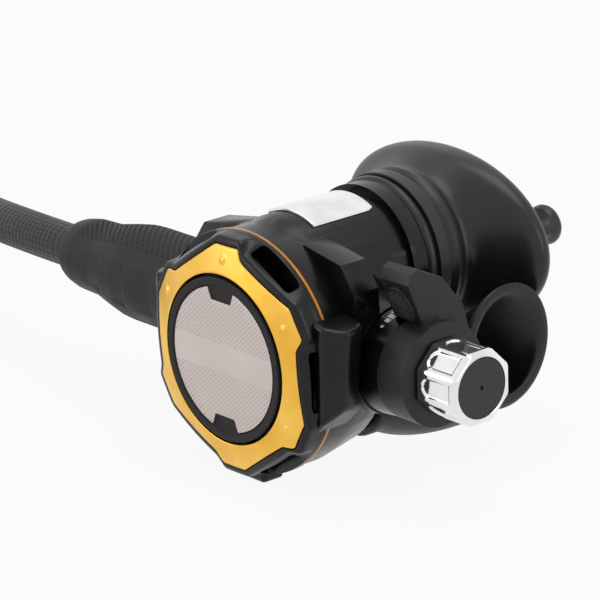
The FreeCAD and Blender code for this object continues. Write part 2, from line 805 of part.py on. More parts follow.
def venturi_vane():
    """Sleeve from the lever's hub into the case, with the vane that steers the air."""
    inner = s.barrel_radius + s.running_gap
    sleeve = ring("vane_sleeve", "x", BARREL, s.vane_start, s.collar_reach + 0.2,
                  inner, VANE_OUTER)
    turn = FreeCAD.Rotation(VECTOR(1, 0, 0), 75)
    blade = doc.addObject("Part::Box", "vane_blade")
    bind(blade, "Length", s.vane_width)
    bind(blade, "Width", s.vane_reach - inner - 0.3)
    bind(blade, "Height", 1.2)
    start = turn.multVec(VECTOR(0, inner.value + 0.3, -0.6))
    base = VECTOR(s.vane_start.value, s.barrel_depth.value, s.centre_height.value)
    blade.Placement = FreeCAD.Placement(base + start, turn)
    return fused("venturi_vane", sleeve, blade)


# ---------------------------------------------------------------- knob

def knob_shell():
    """Fluted knob with a drive rod that turns the screw and lets it slide."""
    wall_start = s.knob_end - s.cap_thickness - s.seat_gap - s.knob_wall
    recess = s.knob_end - s.cap_thickness - s.seat_gap
    rod_start = s.pad_face + s.pad_thickness + s.seat_gap + 3.6
    solid = turned("knob_solid", "x", BARREL, [
        (s.knob_start, s.barrel_radius + s.running_gap), (s.knob_start, s.knob_radius - 0.4),
        (s.knob_start + 0.8, s.knob_radius), (s.knob_end - 0.8, s.knob_radius),
        (s.knob_end, s.knob_radius - 0.8), (s.knob_end, s.cap_radius + s.seat_gap),
        (recess, s.cap_radius + s.seat_gap), (recess, 0), (rod_start, 0),
        (rod_start, s.drive_radius), (wall_start, s.drive_radius), (wall_start, s.knob_bore),
        (s.knob_start + 2.5, s.knob_bore),
        (s.knob_start + 2.5, s.barrel_radius + s.running_gap)])
    flutes = []
    groove = 5.0
    for index in range(8):
        angle = math.radians(45 * index + 22.5)
        reach = s.knob_radius + groove - s.flute_depth
        at = (s.knob_start + 2.2, s.barrel_depth + reach * math.cos(angle),
              s.centre_height + reach * math.sin(angle))
        flutes.append(rod("knob_flute_%d" % index, "x", at, groove,
                          s.knob_end - s.knob_start - 4.0))
    return cut("knob_shell", solid, *flutes)


def knob_cap():
    start = s.knob_end - s.cap_thickness
    return turned("knob_cap", "x", BARREL, [
        (start, 0), (start, s.cap_radius), (s.knob_end - 0.15, s.cap_radius),
        (s.knob_end - 0.15, 0.7), (s.knob_end - 0.8, 0.7), (s.knob_end - 0.8, 0)])


def knob_clip():
    return ring("knob_clip", "x", BARREL, CLIP_START + s.seat_gap,
                CLIP_START + 0.9 - s.seat_gap, s.barrel_radius - 0.5 + s.seat_gap,
                s.knob_bore - s.soft_gap)


# ---------------------------------------------------------------- mouthpiece

TO_Y = FreeCAD.Rotation(VECTOR(1, 0, 0), -90)
NECK_START = s.tube_end + s.end_ring_width + s.seat_gap
NECK_END = NECK_START + s.neck_length
LIP_START = NECK_END + s.funnel_length


def mouthpiece():
    """Soft neck, oval funnel, lip shield and two bite tabs round one air passage."""
    neck_outer = s.spigot_radius + s.mouthpiece_wall
    neck = rod("mouth_neck", "y", (0, NECK_START, TUBE_HEIGHT), neck_outer, s.neck_length)
    lip_height = TUBE_HEIGHT + 1
    middle = NECK_END + s.funnel_length * 0.55
    funnel = loft("mouth_funnel", [
        oval("mouth_oval_1", (0, NECK_END - 2, TUBE_HEIGHT), neck_outer - 0.5,
             neck_outer - 0.51, TO_Y),
        oval("mouth_oval_2", (0, middle, TUBE_HEIGHT + 0.5),
             neck_outer + (s.lip_half_width - neck_outer) * 0.42,
             neck_outer + (s.lip_half_height - neck_outer) * 0.5, TO_Y),
        oval("mouth_oval_3", (0, LIP_START, lip_height), s.lip_half_width - 1.5,
             s.lip_half_height - 1.5, TO_Y)])
    lip = loft("mouth_lip", [
        oval("mouth_oval_4", (0, LIP_START - 1, lip_height), s.lip_half_width,
             s.lip_half_height, TO_Y),
        oval("mouth_oval_5", (0, LIP_START + s.lip_thickness, lip_height),
             s.lip_half_width - 1, s.lip_half_height - 1, TO_Y)])
    tabs = []
    for side, left in (("left", -18 - s.bite_width), ("right", as_size(18))):
        tabs.append(block("mouth_tab_" + side,
                          (left, LIP_START + s.lip_thickness - 1, TUBE_HEIGHT - 2),
                          (s.bite_width, s.bite_length + 1, s.bite_height)))
    solid = fused("mouth_solid", neck, funnel, lip, *tabs)
    socket = rod("mouth_socket", "y", (0, NECK_START - 1, TUBE_HEIGHT),
                 s.spigot_radius + s.seat_gap, s.neck_length + 1)
    bore = loft("mouth_bore", [
        oval("mouth_bore_1", (0, NECK_END - 1, TUBE_HEIGHT), s.spigot_radius - 0.8,
             s.spigot_radius - 0.81, TO_Y),
        oval("mouth_bore_2", (0, LIP_START + s.lip_thickness + 1, TUBE_HEIGHT + 1),
             15.5, 9.0, TO_Y)])
    return cut("mouthpiece", solid, socket, bore)


def mouthpiece_tie():
    inner = s.spigot_radius + s.mouthpiece_wall + s.seat_gap
    start = NECK_START + 3.5
    return ring("mouthpiece_tie", "y", MOUTH, start, start + s.tie_width,
                inner, inner + s.tie_thickness)


# ---------------------------------------------------------------- exhaust

def exhaust_valve():
    """Soft mushroom valve seated on the rim of the port."""
    start = s.port_end + s.seat_gap
    return turned("exhaust_valve", "y", PORT, [
        (s.port_end - 4, 0), (s.port_end - 4, 1.15), (start, 1.15), (start, s.valve_radius),
        (start + s.valve_thickness, s.valve_radius - 0.4),
        (start + s.valve_thickness, 0)])


TO_X = FreeCAD.Rotation(VECTOR(0, 0, 1), VECTOR(0, -1, 0), VECTOR(1, 0, 0))


def deflector_loft(label, shrink, overrun):
    """The tee as ovals along X: from its middle to the two horn mouths."""
    stations = ((-1.0, 1.0), (-0.75, 0.62), (-0.45, 0.22), (0.0, 0.0),
                (0.45, 0.22), (0.75, 0.62), (1.0, 1.0))
    sections = []
    for index, (share, bend) in enumerate(stations):
        reach = (s.horn_reach + overrun) if abs(share) == 1.0 else s.horn_reach
        at = (reach * share,
              s.deflector_back + (s.horn_back - s.deflector_back) * bend,
              s.deflector_height + (s.horn_rise - s.deflector_height) * bend)
        tall = s.deflector_height + (s.horn_height - s.deflector_height) * bend - shrink
        deep = s.deflector_depth + (s.horn_depth - s.deflector_depth) * bend - shrink
        sections.append(oval("%s_%d" % (label, index), at, tall, deep, TO_X))
    return loft(label, sections)


def exhaust_deflector():
    """Soft tee that leads the bubbles to both sides."""
    outer = deflector_loft("deflector_outer", as_size(0), as_size(0))
    inner = deflector_loft("deflector_inner", s.deflector_wall, as_size(1))
    collar_start = s.case_depth + s.seat_gap
    bore_end = s.port_end + s.valve_thickness + 0.6
    collar = rod("deflector_collar", "y", (0, collar_start, s.port_height),
                 s.port_radius + s.seat_gap + 2, bore_end + 2 - collar_start)
    bore = rod("deflector_bore", "y", (0, collar_start - 1, s.port_height),
               s.port_radius + s.seat_gap, bore_end - collar_start + 1)
    return cut("exhaust_deflector", fused("deflector_solid", outer, collar), inner, bore)


# ---------------------------------------------------------------- hose end and sleeve

NUT_END = FLANGE_END - 0.2
NUT_BORE_START = INLET_END - 2 * s.inlet_oring_section - s.soft_gap
NUT_START = NUT_BORE_START - s.nut_wall
FERRULE_END = NUT_START - s.seat_gap
FERRULE_START = FERRULE_END - s.ferrule_length
HOSE_START = FERRULE_END - 1.6


def hose_nut():
    """Hexagonal swivel nut that holds the hose on the barrel's inlet thread."""
    hexagonal = prism("nut_hexagon", "YZ_Plane", (NUT_START, s.barrel_depth, s.centre_height),
                      hexagon(s.nut_flats / 2), NUT_END - NUT_START)
    thread = rod("nut_thread", "x", (NUT_BORE_START, s.barrel_depth, s.centre_height),
                 s.inlet_radius + s.seat_gap, NUT_END - NUT_BORE_START + 1)
    hole = rod("nut_hole", "x", (NUT_START - 1, s.barrel_depth, s.centre_height), 3.0, 5)
    return cut("hose_nut", hexagonal, thread, hole)


def ferrule_profile(length):
    bore = s.hose_radius + s.seat_gap
    return [(0, bore), (0, s.ferrule_radius - 0.6), (0.6, s.ferrule_radius),
            (length - 0.6, s.ferrule_radius), (length, s.ferrule_radius - 0.6),
            (length, 2.5), (length - 1.5, 2.5), (length - 1.5, bore)]


def hose_ferrule():
    return turned("hose_ferrule", "x", (FERRULE_START, s.barrel_depth, s.centre_height),
                  ferrule_profile(s.ferrule_length))


def hose_sleeve():
    """Rubber protector over the ferrule and the swivel nut."""
    end = -s.sleeve_end
    hose_bore = s.hose_radius + s.seat_gap
    ferrule_bore = s.ferrule_radius + 0.1
    nut_bore = s.nut_flats / math.sqrt(3) + 0.15
    return turned("hose_sleeve", "x", BARREL, [
        (end, hose_bore), (end, s.sleeve_tip_radius - 0.4), (end + 1.0, s.sleeve_tip_radius + 0.8),
        (end + 4.0, s.sleeve_neck_radius - 1.0), (end + 8.0, s.sleeve_neck_radius),
        (end + 17, s.sleeve_neck_radius + 0.2), (end + 33, s.sleeve_radius),
        (NUT_END - 8, s.sleeve_radius), (NUT_END, s.sleeve_radius - 0.6),
        (NUT_END, nut_bore), (NUT_START - 0.3, nut_bore), (NUT_START - 0.3, ferrule_bore),
        (FERRULE_START - 0.3, ferrule_bore), (FERRULE_START - 0.3, hose_bore)])


# ---------------------------------------------------------------- hose

COIL_CENTRE = VECTOR(-239, 0, 0)
COIL_START_ANGLE = 130.0    # where the hose reaches the floor, seen from above
FERRULE_OVERLAP = 4.0       # the ferrule starts this far back over the hose's end
END_GROOVE_DEPTH = 0.9      # the o-ring groove under the end thread's head
END_GROOVE_WIDTH = 2.0
# route of the hose up to the coil; its first point lies in the ferrule
HOSE_ROUTE = [
    (HOSE_START.value, s.barrel_depth.value, s.centre_height.value),
    (-128, s.barrel_depth.value, s.centre_height.value),
    (-163, 28, 34),
    (-192, 48.5, 27.5),
    (-223.5, 61.5, 18.5),
    (-258.5, 61, 11.5),
    (-288.5, 44.5, 7.4),
    (-306, 17.5, 6.4),
]


def rounded_route(points):
    """Straight runs joined by tangent arcs, each as large as its runs allow."""
    spots = [VECTOR(*point) for point in points]
    edges = []
    radii = []
    here = spots[0]
    for before, corner, after in zip(spots, spots[1:], spots[2:]):
        back = before - corner
        ahead = after - corner
        turn = math.pi - back.getAngle(ahead)
        setback = 0.45 * min(back.Length, ahead.Length)
        radius = setback / math.tan(turn / 2)
        radii.append(round(radius, 1))
        start = corner + back.normalize() * setback
        end = corner + ahead.normalize() * setback
        bisector = (back + ahead).normalize()
        edges.append(Part.LineSegment(here, start).toShape())
        centre = corner + bisector * (radius / math.cos(turn / 2))
        middle = centre - bisector * radius
        edges.append(Part.Arc(start, middle, end).toShape())
        here = end
    edges.append(Part.LineSegment(here, spots[-1]).toShape())
    print("hose arc radii", radii)
    return Part.Wire(edges)


def hose():
    """The hose from its ferrule down to the coil."""
    route = rounded_route(HOSE_ROUTE)
    ahead = VECTOR(*HOSE_ROUTE[1]) - VECTOR(*HOSE_ROUTE[0])
    section = Part.Wire(Part.makeCircle(s.hose_radius.value, VECTOR(*HOSE_ROUTE[0]), ahead))
    item = doc.addObject("Part::Feature", "hose")
    item.Shape = route.makePipeShell([section], True, False)
    expected = math.pi * s.hose_radius.value ** 2 * route.Length
    print("hose tube length %.1f, volume over section times length %.4f"
          % (route.Length, item.Shape.Volume / expected))
    return item


def coil_shrink():
    """How far the hose's line moves in over all the turns."""
    return (2 * s.hose_radius + s.coil_gap) * s.coil_turns


def hose_coil():
    """Closed ring of the coil's outer shape; the hose winds inwards in it."""
    return ring("hose_coil", "z", (COIL_CENTRE.x, COIL_CENTRE.y, 0), as_size(0),
                2 * s.hose_radius, s.coil_radius - coil_shrink() - s.hose_radius,
                s.coil_radius + s.hose_radius)


def hose_end():
    """Place and heading of the hose's first-stage end, which lies on the coil."""
    angle = math.radians(COIL_START_ANGLE + 360 * s.coil_turns.value)
    reach = s.coil_radius.value - coil_shrink().value
    spot = COIL_CENTRE + VECTOR(math.cos(angle), math.sin(angle), 0) * reach
    height = 2 * s.hose_radius.value + s.ferrule_radius.value + s.seat_gap.value
    heading = math.degrees(angle) + 90
    return VECTOR(spot.x, spot.y, height), FreeCAD.Rotation(VECTOR(0, 0, 1), heading)


def on_hose_end(item, along):
    spot, turn = hose_end()
    item.Placement = FreeCAD.Placement(spot + turn.multVec(VECTOR(along, 0, 0)), turn)
    for letter in "xyz":
        item.setExpression("Placement.Base." + letter, None)
    return item


def first_stage_ferrule():
    item = turned("first_stage_ferrule", "x", (0, 0, 0), ferrule_profile(s.ferrule_length))
    return on_hose_end(item, -FERRULE_OVERLAP)


def first_stage_fitting():
    """Hexagon and 3/8-24 thread that screws into a first-stage port."""
    lying = [(across, up) for up, across in hexagon(s.end_flats / 2)]
    hexagonal = prism("end_hexagon", "YZ_Plane", (0, 0, 0), lying, s.end_hex_length)
    groove = s.end_thread_radius - END_GROOVE_DEPTH
    stem = turned("end_stem", "x", (0, 0, 0), [
        (0, 0), (s.end_hex_length, 0), (s.end_hex_length, groove),
        (s.end_hex_length + END_GROOVE_WIDTH, groove),
        (s.end_hex_length + END_GROOVE_WIDTH, s.end_thread_radius),
        (s.end_hex_length + s.end_thread_length, s.end_thread_radius),
        (s.end_hex_length + s.end_thread_length, 0)])
    bore = rod("end_bore", "x", (-1, 0, 0), 2.0, 40)
    item = cut("first_stage_fitting", fused("end_solid", hexagonal, stem), bore)
    return on_hose_end(item, s.ferrule_length.value + s.seat_gap.value - FERRULE_OVERLAP)


def first_stage_oring():
    section = END_GROOVE_WIDTH / 2 - 0.15
    item = torus("first_stage_oring", "x", (0, 0, 0),
                 s.end_thread_radius - END_GROOVE_DEPTH + section + 0.02, section)
    along = (s.ferrule_length.value - FERRULE_OVERLAP + s.end_hex_length.value
             + END_GROOVE_WIDTH / 2)
    spot, turn = hose_end()
    item.Placement = FreeCAD.Placement(spot + turn.multVec(VECTOR(along, 0, 0)),
                                       turn * ROD["x"])
    for letter in "xyz":
        item.setExpression("Placement.Base." + letter, None)
    return item


# ---------------------------------------------------------------- build, check and write

MAKERS = [
    case, emblem_plate, front_cover, bezel_plate, trim_ring, purge_button, purge_plate,
    purge_spring, diaphragm, diaphragm_disc, diaphragm_retainer, valve_barrel, orifice,
    orifice_oring, inlet_oring, poppet, poppet_seat, poppet_spring, spring_pad,
    adjusting_screw, screw_oring, lever_saddle, lever_pin, demand_lever, barrel_collar,
    venturi_lever, thumb_pad, venturi_vane, knob_shell, knob_cap, knob_clip, mouthpiece,
    mouthpiece_tie, exhaust_valve, exhaust_deflector, hose_nut, hose_ferrule, hose_sleeve,
    hose, hose_coil, first_stage_ferrule, first_stage_fitting, first_stage_oring,
]

nodes = [make() for make in MAKERS]
doc.recompute()

for item in doc.Objects:
    if "Invalid" in item.State or "Error" in item.State:
        raise RuntimeError("failed: " + item.Name + " " + str(item.State))
for node in nodes:
    if node.Shape.isNull() or not node.Shape.isValid():
        raise RuntimeError("bad shape: " + node.Label)

os.makedirs("parts", exist_ok=True)
for node in nodes:
    node.Shape.exportStep("parts/" + node.Label + ".step")
    print("%-22s solids %d volume %.1f" % (node.Label, len(node.Shape.Solids),
                                          node.Shape.Volume))
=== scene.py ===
import json
import math
import bmesh
import bpy
from mathutils import Matrix, Vector


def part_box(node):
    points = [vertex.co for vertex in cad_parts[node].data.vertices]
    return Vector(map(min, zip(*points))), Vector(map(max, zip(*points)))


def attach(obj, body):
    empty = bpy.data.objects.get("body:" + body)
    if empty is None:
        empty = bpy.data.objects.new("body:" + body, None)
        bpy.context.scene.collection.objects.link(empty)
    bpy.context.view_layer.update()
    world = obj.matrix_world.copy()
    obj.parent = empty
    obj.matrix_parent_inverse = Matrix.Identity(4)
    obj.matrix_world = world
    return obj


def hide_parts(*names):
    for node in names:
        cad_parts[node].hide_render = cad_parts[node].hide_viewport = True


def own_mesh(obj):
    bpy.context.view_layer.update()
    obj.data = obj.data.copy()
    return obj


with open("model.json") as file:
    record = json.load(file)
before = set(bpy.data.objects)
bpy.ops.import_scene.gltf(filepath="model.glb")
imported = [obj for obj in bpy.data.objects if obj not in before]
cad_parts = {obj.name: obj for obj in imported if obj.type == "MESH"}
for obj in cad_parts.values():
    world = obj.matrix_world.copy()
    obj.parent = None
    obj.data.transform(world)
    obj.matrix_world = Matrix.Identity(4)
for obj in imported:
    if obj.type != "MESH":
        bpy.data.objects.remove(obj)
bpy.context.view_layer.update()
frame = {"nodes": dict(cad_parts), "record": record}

MM = 0.001
CENTRE = Vector((0, 0, 36))            # purge axis, along Y; all lengths in millimetres
BARREL = Vector((0, 23, 36))           # barrel, knob and hose axis, along X

PLATE_HOLE = 23.84                     # front plate: its hole, front height, thickness and cone
PLATE_FRONT = 10.0
PLATE_THICKNESS = 1.6
PLATE_FALL = 0.3037                    # mm back per mm outwards
STUD_CIRCLE = 28.0                     # radius on which its six small domes stand
CORNER_STEP = ((-13.0, 29.1), (-8.2, 31.9), (8.0, 31.7))   # degrees off a corner, radius

BUTTON_RADIUS = 23.0                   # purge button, heights in front of the cover's middle
BUTTON_FACE = 9.6
BUTTON_BACK = 8.4
BUTTON_RIM = 0.65
PUSH_RADIUS = 7.0
FACE_RADIUS = 20.3                     # steel face and its two notches
FACE_FRONT = 10.1
NOTCH_FLOOR = 16.3
NOTCH_HALF = 4.0

COVER_RADIUS = 34.1                    # cover's flange
LIP = 2.2                              # cover's lip outside the front plate
EAR_FOOT = 31.0                        # where the ears leave the cover, from its middle

HORN_REACH = 40.0                      # exhaust tee: middle to mouth, and its oval section
HORN_DEEP, HORN_TALL = 12.5, 14.4
HORN_GROWTH_DEEP, HORN_GROWTH_TALL = 2.5, 2.6
HORN_BACK, HORN_RISE = 10.0, 18.6      # how far each mouth lies behind and above the middle

KNOB_RADIUS = 10.7
KNOB_FLAT = 10.05                      # middle of each of its eight flats
CAP_RADIUS = 8.42
PANEL_HALF, PANEL_DEPTH = 2.5, 0.42    # sunk panel in each flat

COIL_CENTRE = Vector((-239, 0, 0))     # hose: its coil on the floor and where its end lies
COIL_RADIUS = 66.0
COIL_START = 130.0                     # degrees
COIL_SHRINK = 13.4                     # per turn
HOSE_END = Vector((-286.49, -15.8, 20.85))
HOSE_END_HEADING = 288.4
HOSE_RADIUS = 6.4
HOSE_LENGTH = 673.4


# ---------------------------------------------------------------- camera, light and floor

def camera():
    """Three-quarter view from the knob's side, a little above."""
    azimuth, elevation, roll = (math.radians(a) for a in (49.38, 18.84, -1.893))
    back = Vector((math.sin(azimuth) * math.cos(elevation),
                   -math.cos(azimuth) * math.cos(elevation), math.sin(elevation)))
    level = Vector((math.cos(azimuth), math.sin(azimuth), 0))
    upright = back.cross(level)
    right = math.cos(roll) * level + math.sin(roll) * upright
    up = math.cos(roll) * upright - math.sin(roll) * level
    item = bpy.data.objects.new("camera", bpy.data.cameras.new("camera"))
    item.data.lens = 225.2
    item.data.sensor_width = 36
    item.data.clip_start = 0.05
    turn = Matrix((right, up, back)).transposed().to_4x4()
    item.matrix_world = Matrix.Translation((0.733516, -0.611215, 0.375749)) @ turn
    bpy.context.scene.collection.objects.link(item)
    bpy.context.scene.camera = item


def softbox(name, place, size, power):
    """An area lamp that faces the object's middle."""
    lamp = bpy.data.lights.new(name, "AREA")
    lamp.shape = "RECTANGLE"
    lamp.size, lamp.size_y = size
    lamp.energy = power
    item = bpy.data.objects.new(name, lamp)
    item.location = place
    aim = Vector((0, 0.02, 0.04)) - item.location
    item.rotation_euler = aim.to_track_quat("-Z", "Y").to_euler()
    bpy.context.scene.collection.objects.link(item)


def add(tree, kind, inputs=(), **settings):
    """Adds a node; inputs maps each socket to a value or to the output linked to it."""
    node = tree.nodes.new(kind)
    for name, value in settings.items():
        setattr(node, name, value)
    for key, value in dict(inputs).items():
        if isinstance(value, bpy.types.NodeSocket):
            tree.links.new(value, node.inputs[key])
        else:
            node.inputs[key].default_value = value
    return node


def seen_white(tree):
    """1 for a ray from the camera or through a reflection, 0 for light on the object."""
    rays = add(tree, "ShaderNodeLightPath")
    first = add(tree, "ShaderNodeMath", {0: rays.outputs["Is Camera Ray"],
                                         1: rays.outputs["Is Glossy Ray"]}, operation="MAXIMUM")
    return add(tree, "ShaderNodeMath", {0: first.outputs[0],
                                        1: rays.outputs["Is Transmission Ray"]},
               operation="MAXIMUM").outputs[0]


def studio():
    """White surroundings, a pale floor and three soft lamps."""
    world = bpy.data.worlds.new("studio")
    world.use_nodes = True
    tree = world.node_tree
    tree.nodes.clear()
    lit = add(tree, "ShaderNodeBackground", {"Color": (1, 1, 1, 1), "Strength": 0.34})
    seen = add(tree, "ShaderNodeBackground", {"Color": (1, 1, 1, 1), "Strength": 1.0})
    mix = add(tree, "ShaderNodeMixShader", {0: seen_white(tree), 1: lit.outputs[0],
                                            2: seen.outputs[0]})
    add(tree, "ShaderNodeOutputWorld", {"Surface": mix.outputs[0]})
    bpy.context.scene.world = world
    bpy.context.scene.view_settings.view_transform = "Standard"
    softbox("lamp_above", (0.05, 0.1, 0.95), (0.7, 0.5), 2.6)
    softbox("lamp_front_left", (-0.55, -0.75, 0.45), (0.5, 0.6), 1.5)
    softbox("lamp_right", (0.9, 0.25, 0.4), (0.25, 0.7), 1.3)

    # matt white card under the object, evened out where the eye sees it
    card = bpy.data.materials.new("white_card")
    card.use_nodes = True
    tree = card.node_tree
    tree.nodes.clear()
    flock = add(tree, "ShaderNodeTexNoise", {"Scale": 900.0, "Detail": 2.0})
    bump = add(tree, "ShaderNodeBump", {"Height": flock.outputs[0], "Distance": 0.00005})
    matt = add(tree, "ShaderNodeBsdfDiffuse", {"Color": (0.86, 0.86, 0.86, 1),
                                               "Normal": bump.outputs[0]})
    glow = add(tree, "ShaderNodeEmission", {"Color": (1, 1, 1, 1), "Strength": 1.0})
    share = add(tree, "ShaderNodeMath", {0: seen_white(tree), 1: 0.92}, operation="MULTIPLY")
    mix = add(tree, "ShaderNodeMixShader", {0: share.outputs[0], 1: matt.outputs[0],
                                            2: glow.outputs[0]})
    add(tree, "ShaderNodeOutputMaterial", {"Surface": mix.outputs[0]})
    mesh = bmesh.new()
    bmesh.ops.create_circle(mesh, cap_ends=True, segments=96, radius=6.0)
    data = bpy.data.meshes.new("floor")
    mesh.to_mesh(data)
    mesh.free()
    floor = bpy.data.objects.new("floor", data)
    floor.location.z = -0.00015
    data.materials.append(card)
    bpy.context.scene.collection.objects.link(floor)


# ---------------------------------------------------------------- materials

def linear(code):
    """A linear colour from its sRGB code."""
    levels = [int(code[i:i + 2], 16) / 255 for i in (1, 3, 5)]
    return [v / 12.92 if v <= 0.04045 else ((v + 0.055) / 1.055) ** 2.4 for v in levels] + [1.0]


class Finish:
    """A material with patchy gloss, a slight drift of colour and a fine surface grain."""

    def __init__(self, name, pale, deep, gloss, grain, patch=9.0, metal=0.0, **sockets):
        """pale and deep are the colour's ends, gloss the roughness's, grain is (size, height)
        in mm, patch the size of the drift in mm."""
        self.material = bpy.data.materials.new(name)
        self.material.use_nodes = True
        self.tree = self.material.node_tree
        self.shader = self.tree.nodes["Principled BSDF"]
        self.place = add(self.tree, "ShaderNodeTexCoord").outputs["Object"]
        self.patches = add(self.tree, "ShaderNodeTexNoise", {
            "Vector": self.place, "Scale": 1 / (patch * MM), "Detail": 4.0}).outputs[0]
        ramp = add(self.tree, "ShaderNodeValToRGB", {0: self.patches})
        ramp.color_ramp.elements[0].position = 0.35
        ramp.color_ramp.elements[1].position = 0.65
        ramp.color_ramp.elements[0].color = linear(deep)
        ramp.color_ramp.elements[1].color = linear(pale)
        self.colour = ramp.outputs[0]
        rough = add(self.tree, "ShaderNodeMapRange", {
            "Value": self.patches, "From Min": 0.3, "From Max": 0.7,
            "To Min": gloss[0], "To Max": gloss[1]})
        self.tree.links.new(rough.outputs[0], self.shader.inputs["Roughness"])
        self.tree.links.new(self.colour, self.shader.inputs["Base Color"])
        self.shader.inputs["Metallic"].default_value = metal
        for name, value in sockets.items():
            self.shader.inputs[name.replace("_", " ")].default_value = value
        self.normal = None
        fine = add(self.tree, "ShaderNodeTexNoise", {
            "Vector": self.place, "Scale": 1 / (grain[0] * MM), "Detail": 2.0})
        self.emboss(fine.outputs[0], grain[1])

    def emboss(self, height, depth):
        """Adds relief to the surface, depth mm from its lowest to its highest."""
        bump = add(self.tree, "ShaderNodeBump", {"Height": height, "Distance": depth * MM})
        if self.normal:
            self.tree.links.new(self.normal, bump.inputs["Normal"])
        self.normal = bump.outputs[0]
        self.tree.links.new(self.normal, self.shader.inputs["Normal"])

    def maths(self, operation, *values):
        """One math node on numbers or outputs."""
        return add(self.tree, "ShaderNodeMath", dict(enumerate(values)),
                   operation=operation).outputs[0]

    def wave(self, coordinate, pitch):
        """A sine that repeats every pitch, in the coordinate's own unit."""
        return self.maths("SINE", self.maths("MULTIPLY", coordinate, 2 * math.pi / pitch))

    def axes(self, source=None):
        """The three parts of a place, the object's own unless another is given."""
        split = add(self.tree, "ShaderNodeSeparateXYZ", {0: source or self.place})
        return list(split.outputs)

    def tint(self, factor, code):
        """Lets another colour in where factor is high."""
        mix = add(self.tree, "ShaderNodeMix", data_type="RGBA")
        self.tree.links.new(factor, mix.inputs[0])
        self.tree.links.new(self.colour, mix.inputs[6])
        mix.inputs[7].default_value = linear(code)
        self.colour = mix.outputs[2]
        self.tree.links.new(self.colour, self.shader.inputs["Base Color"])


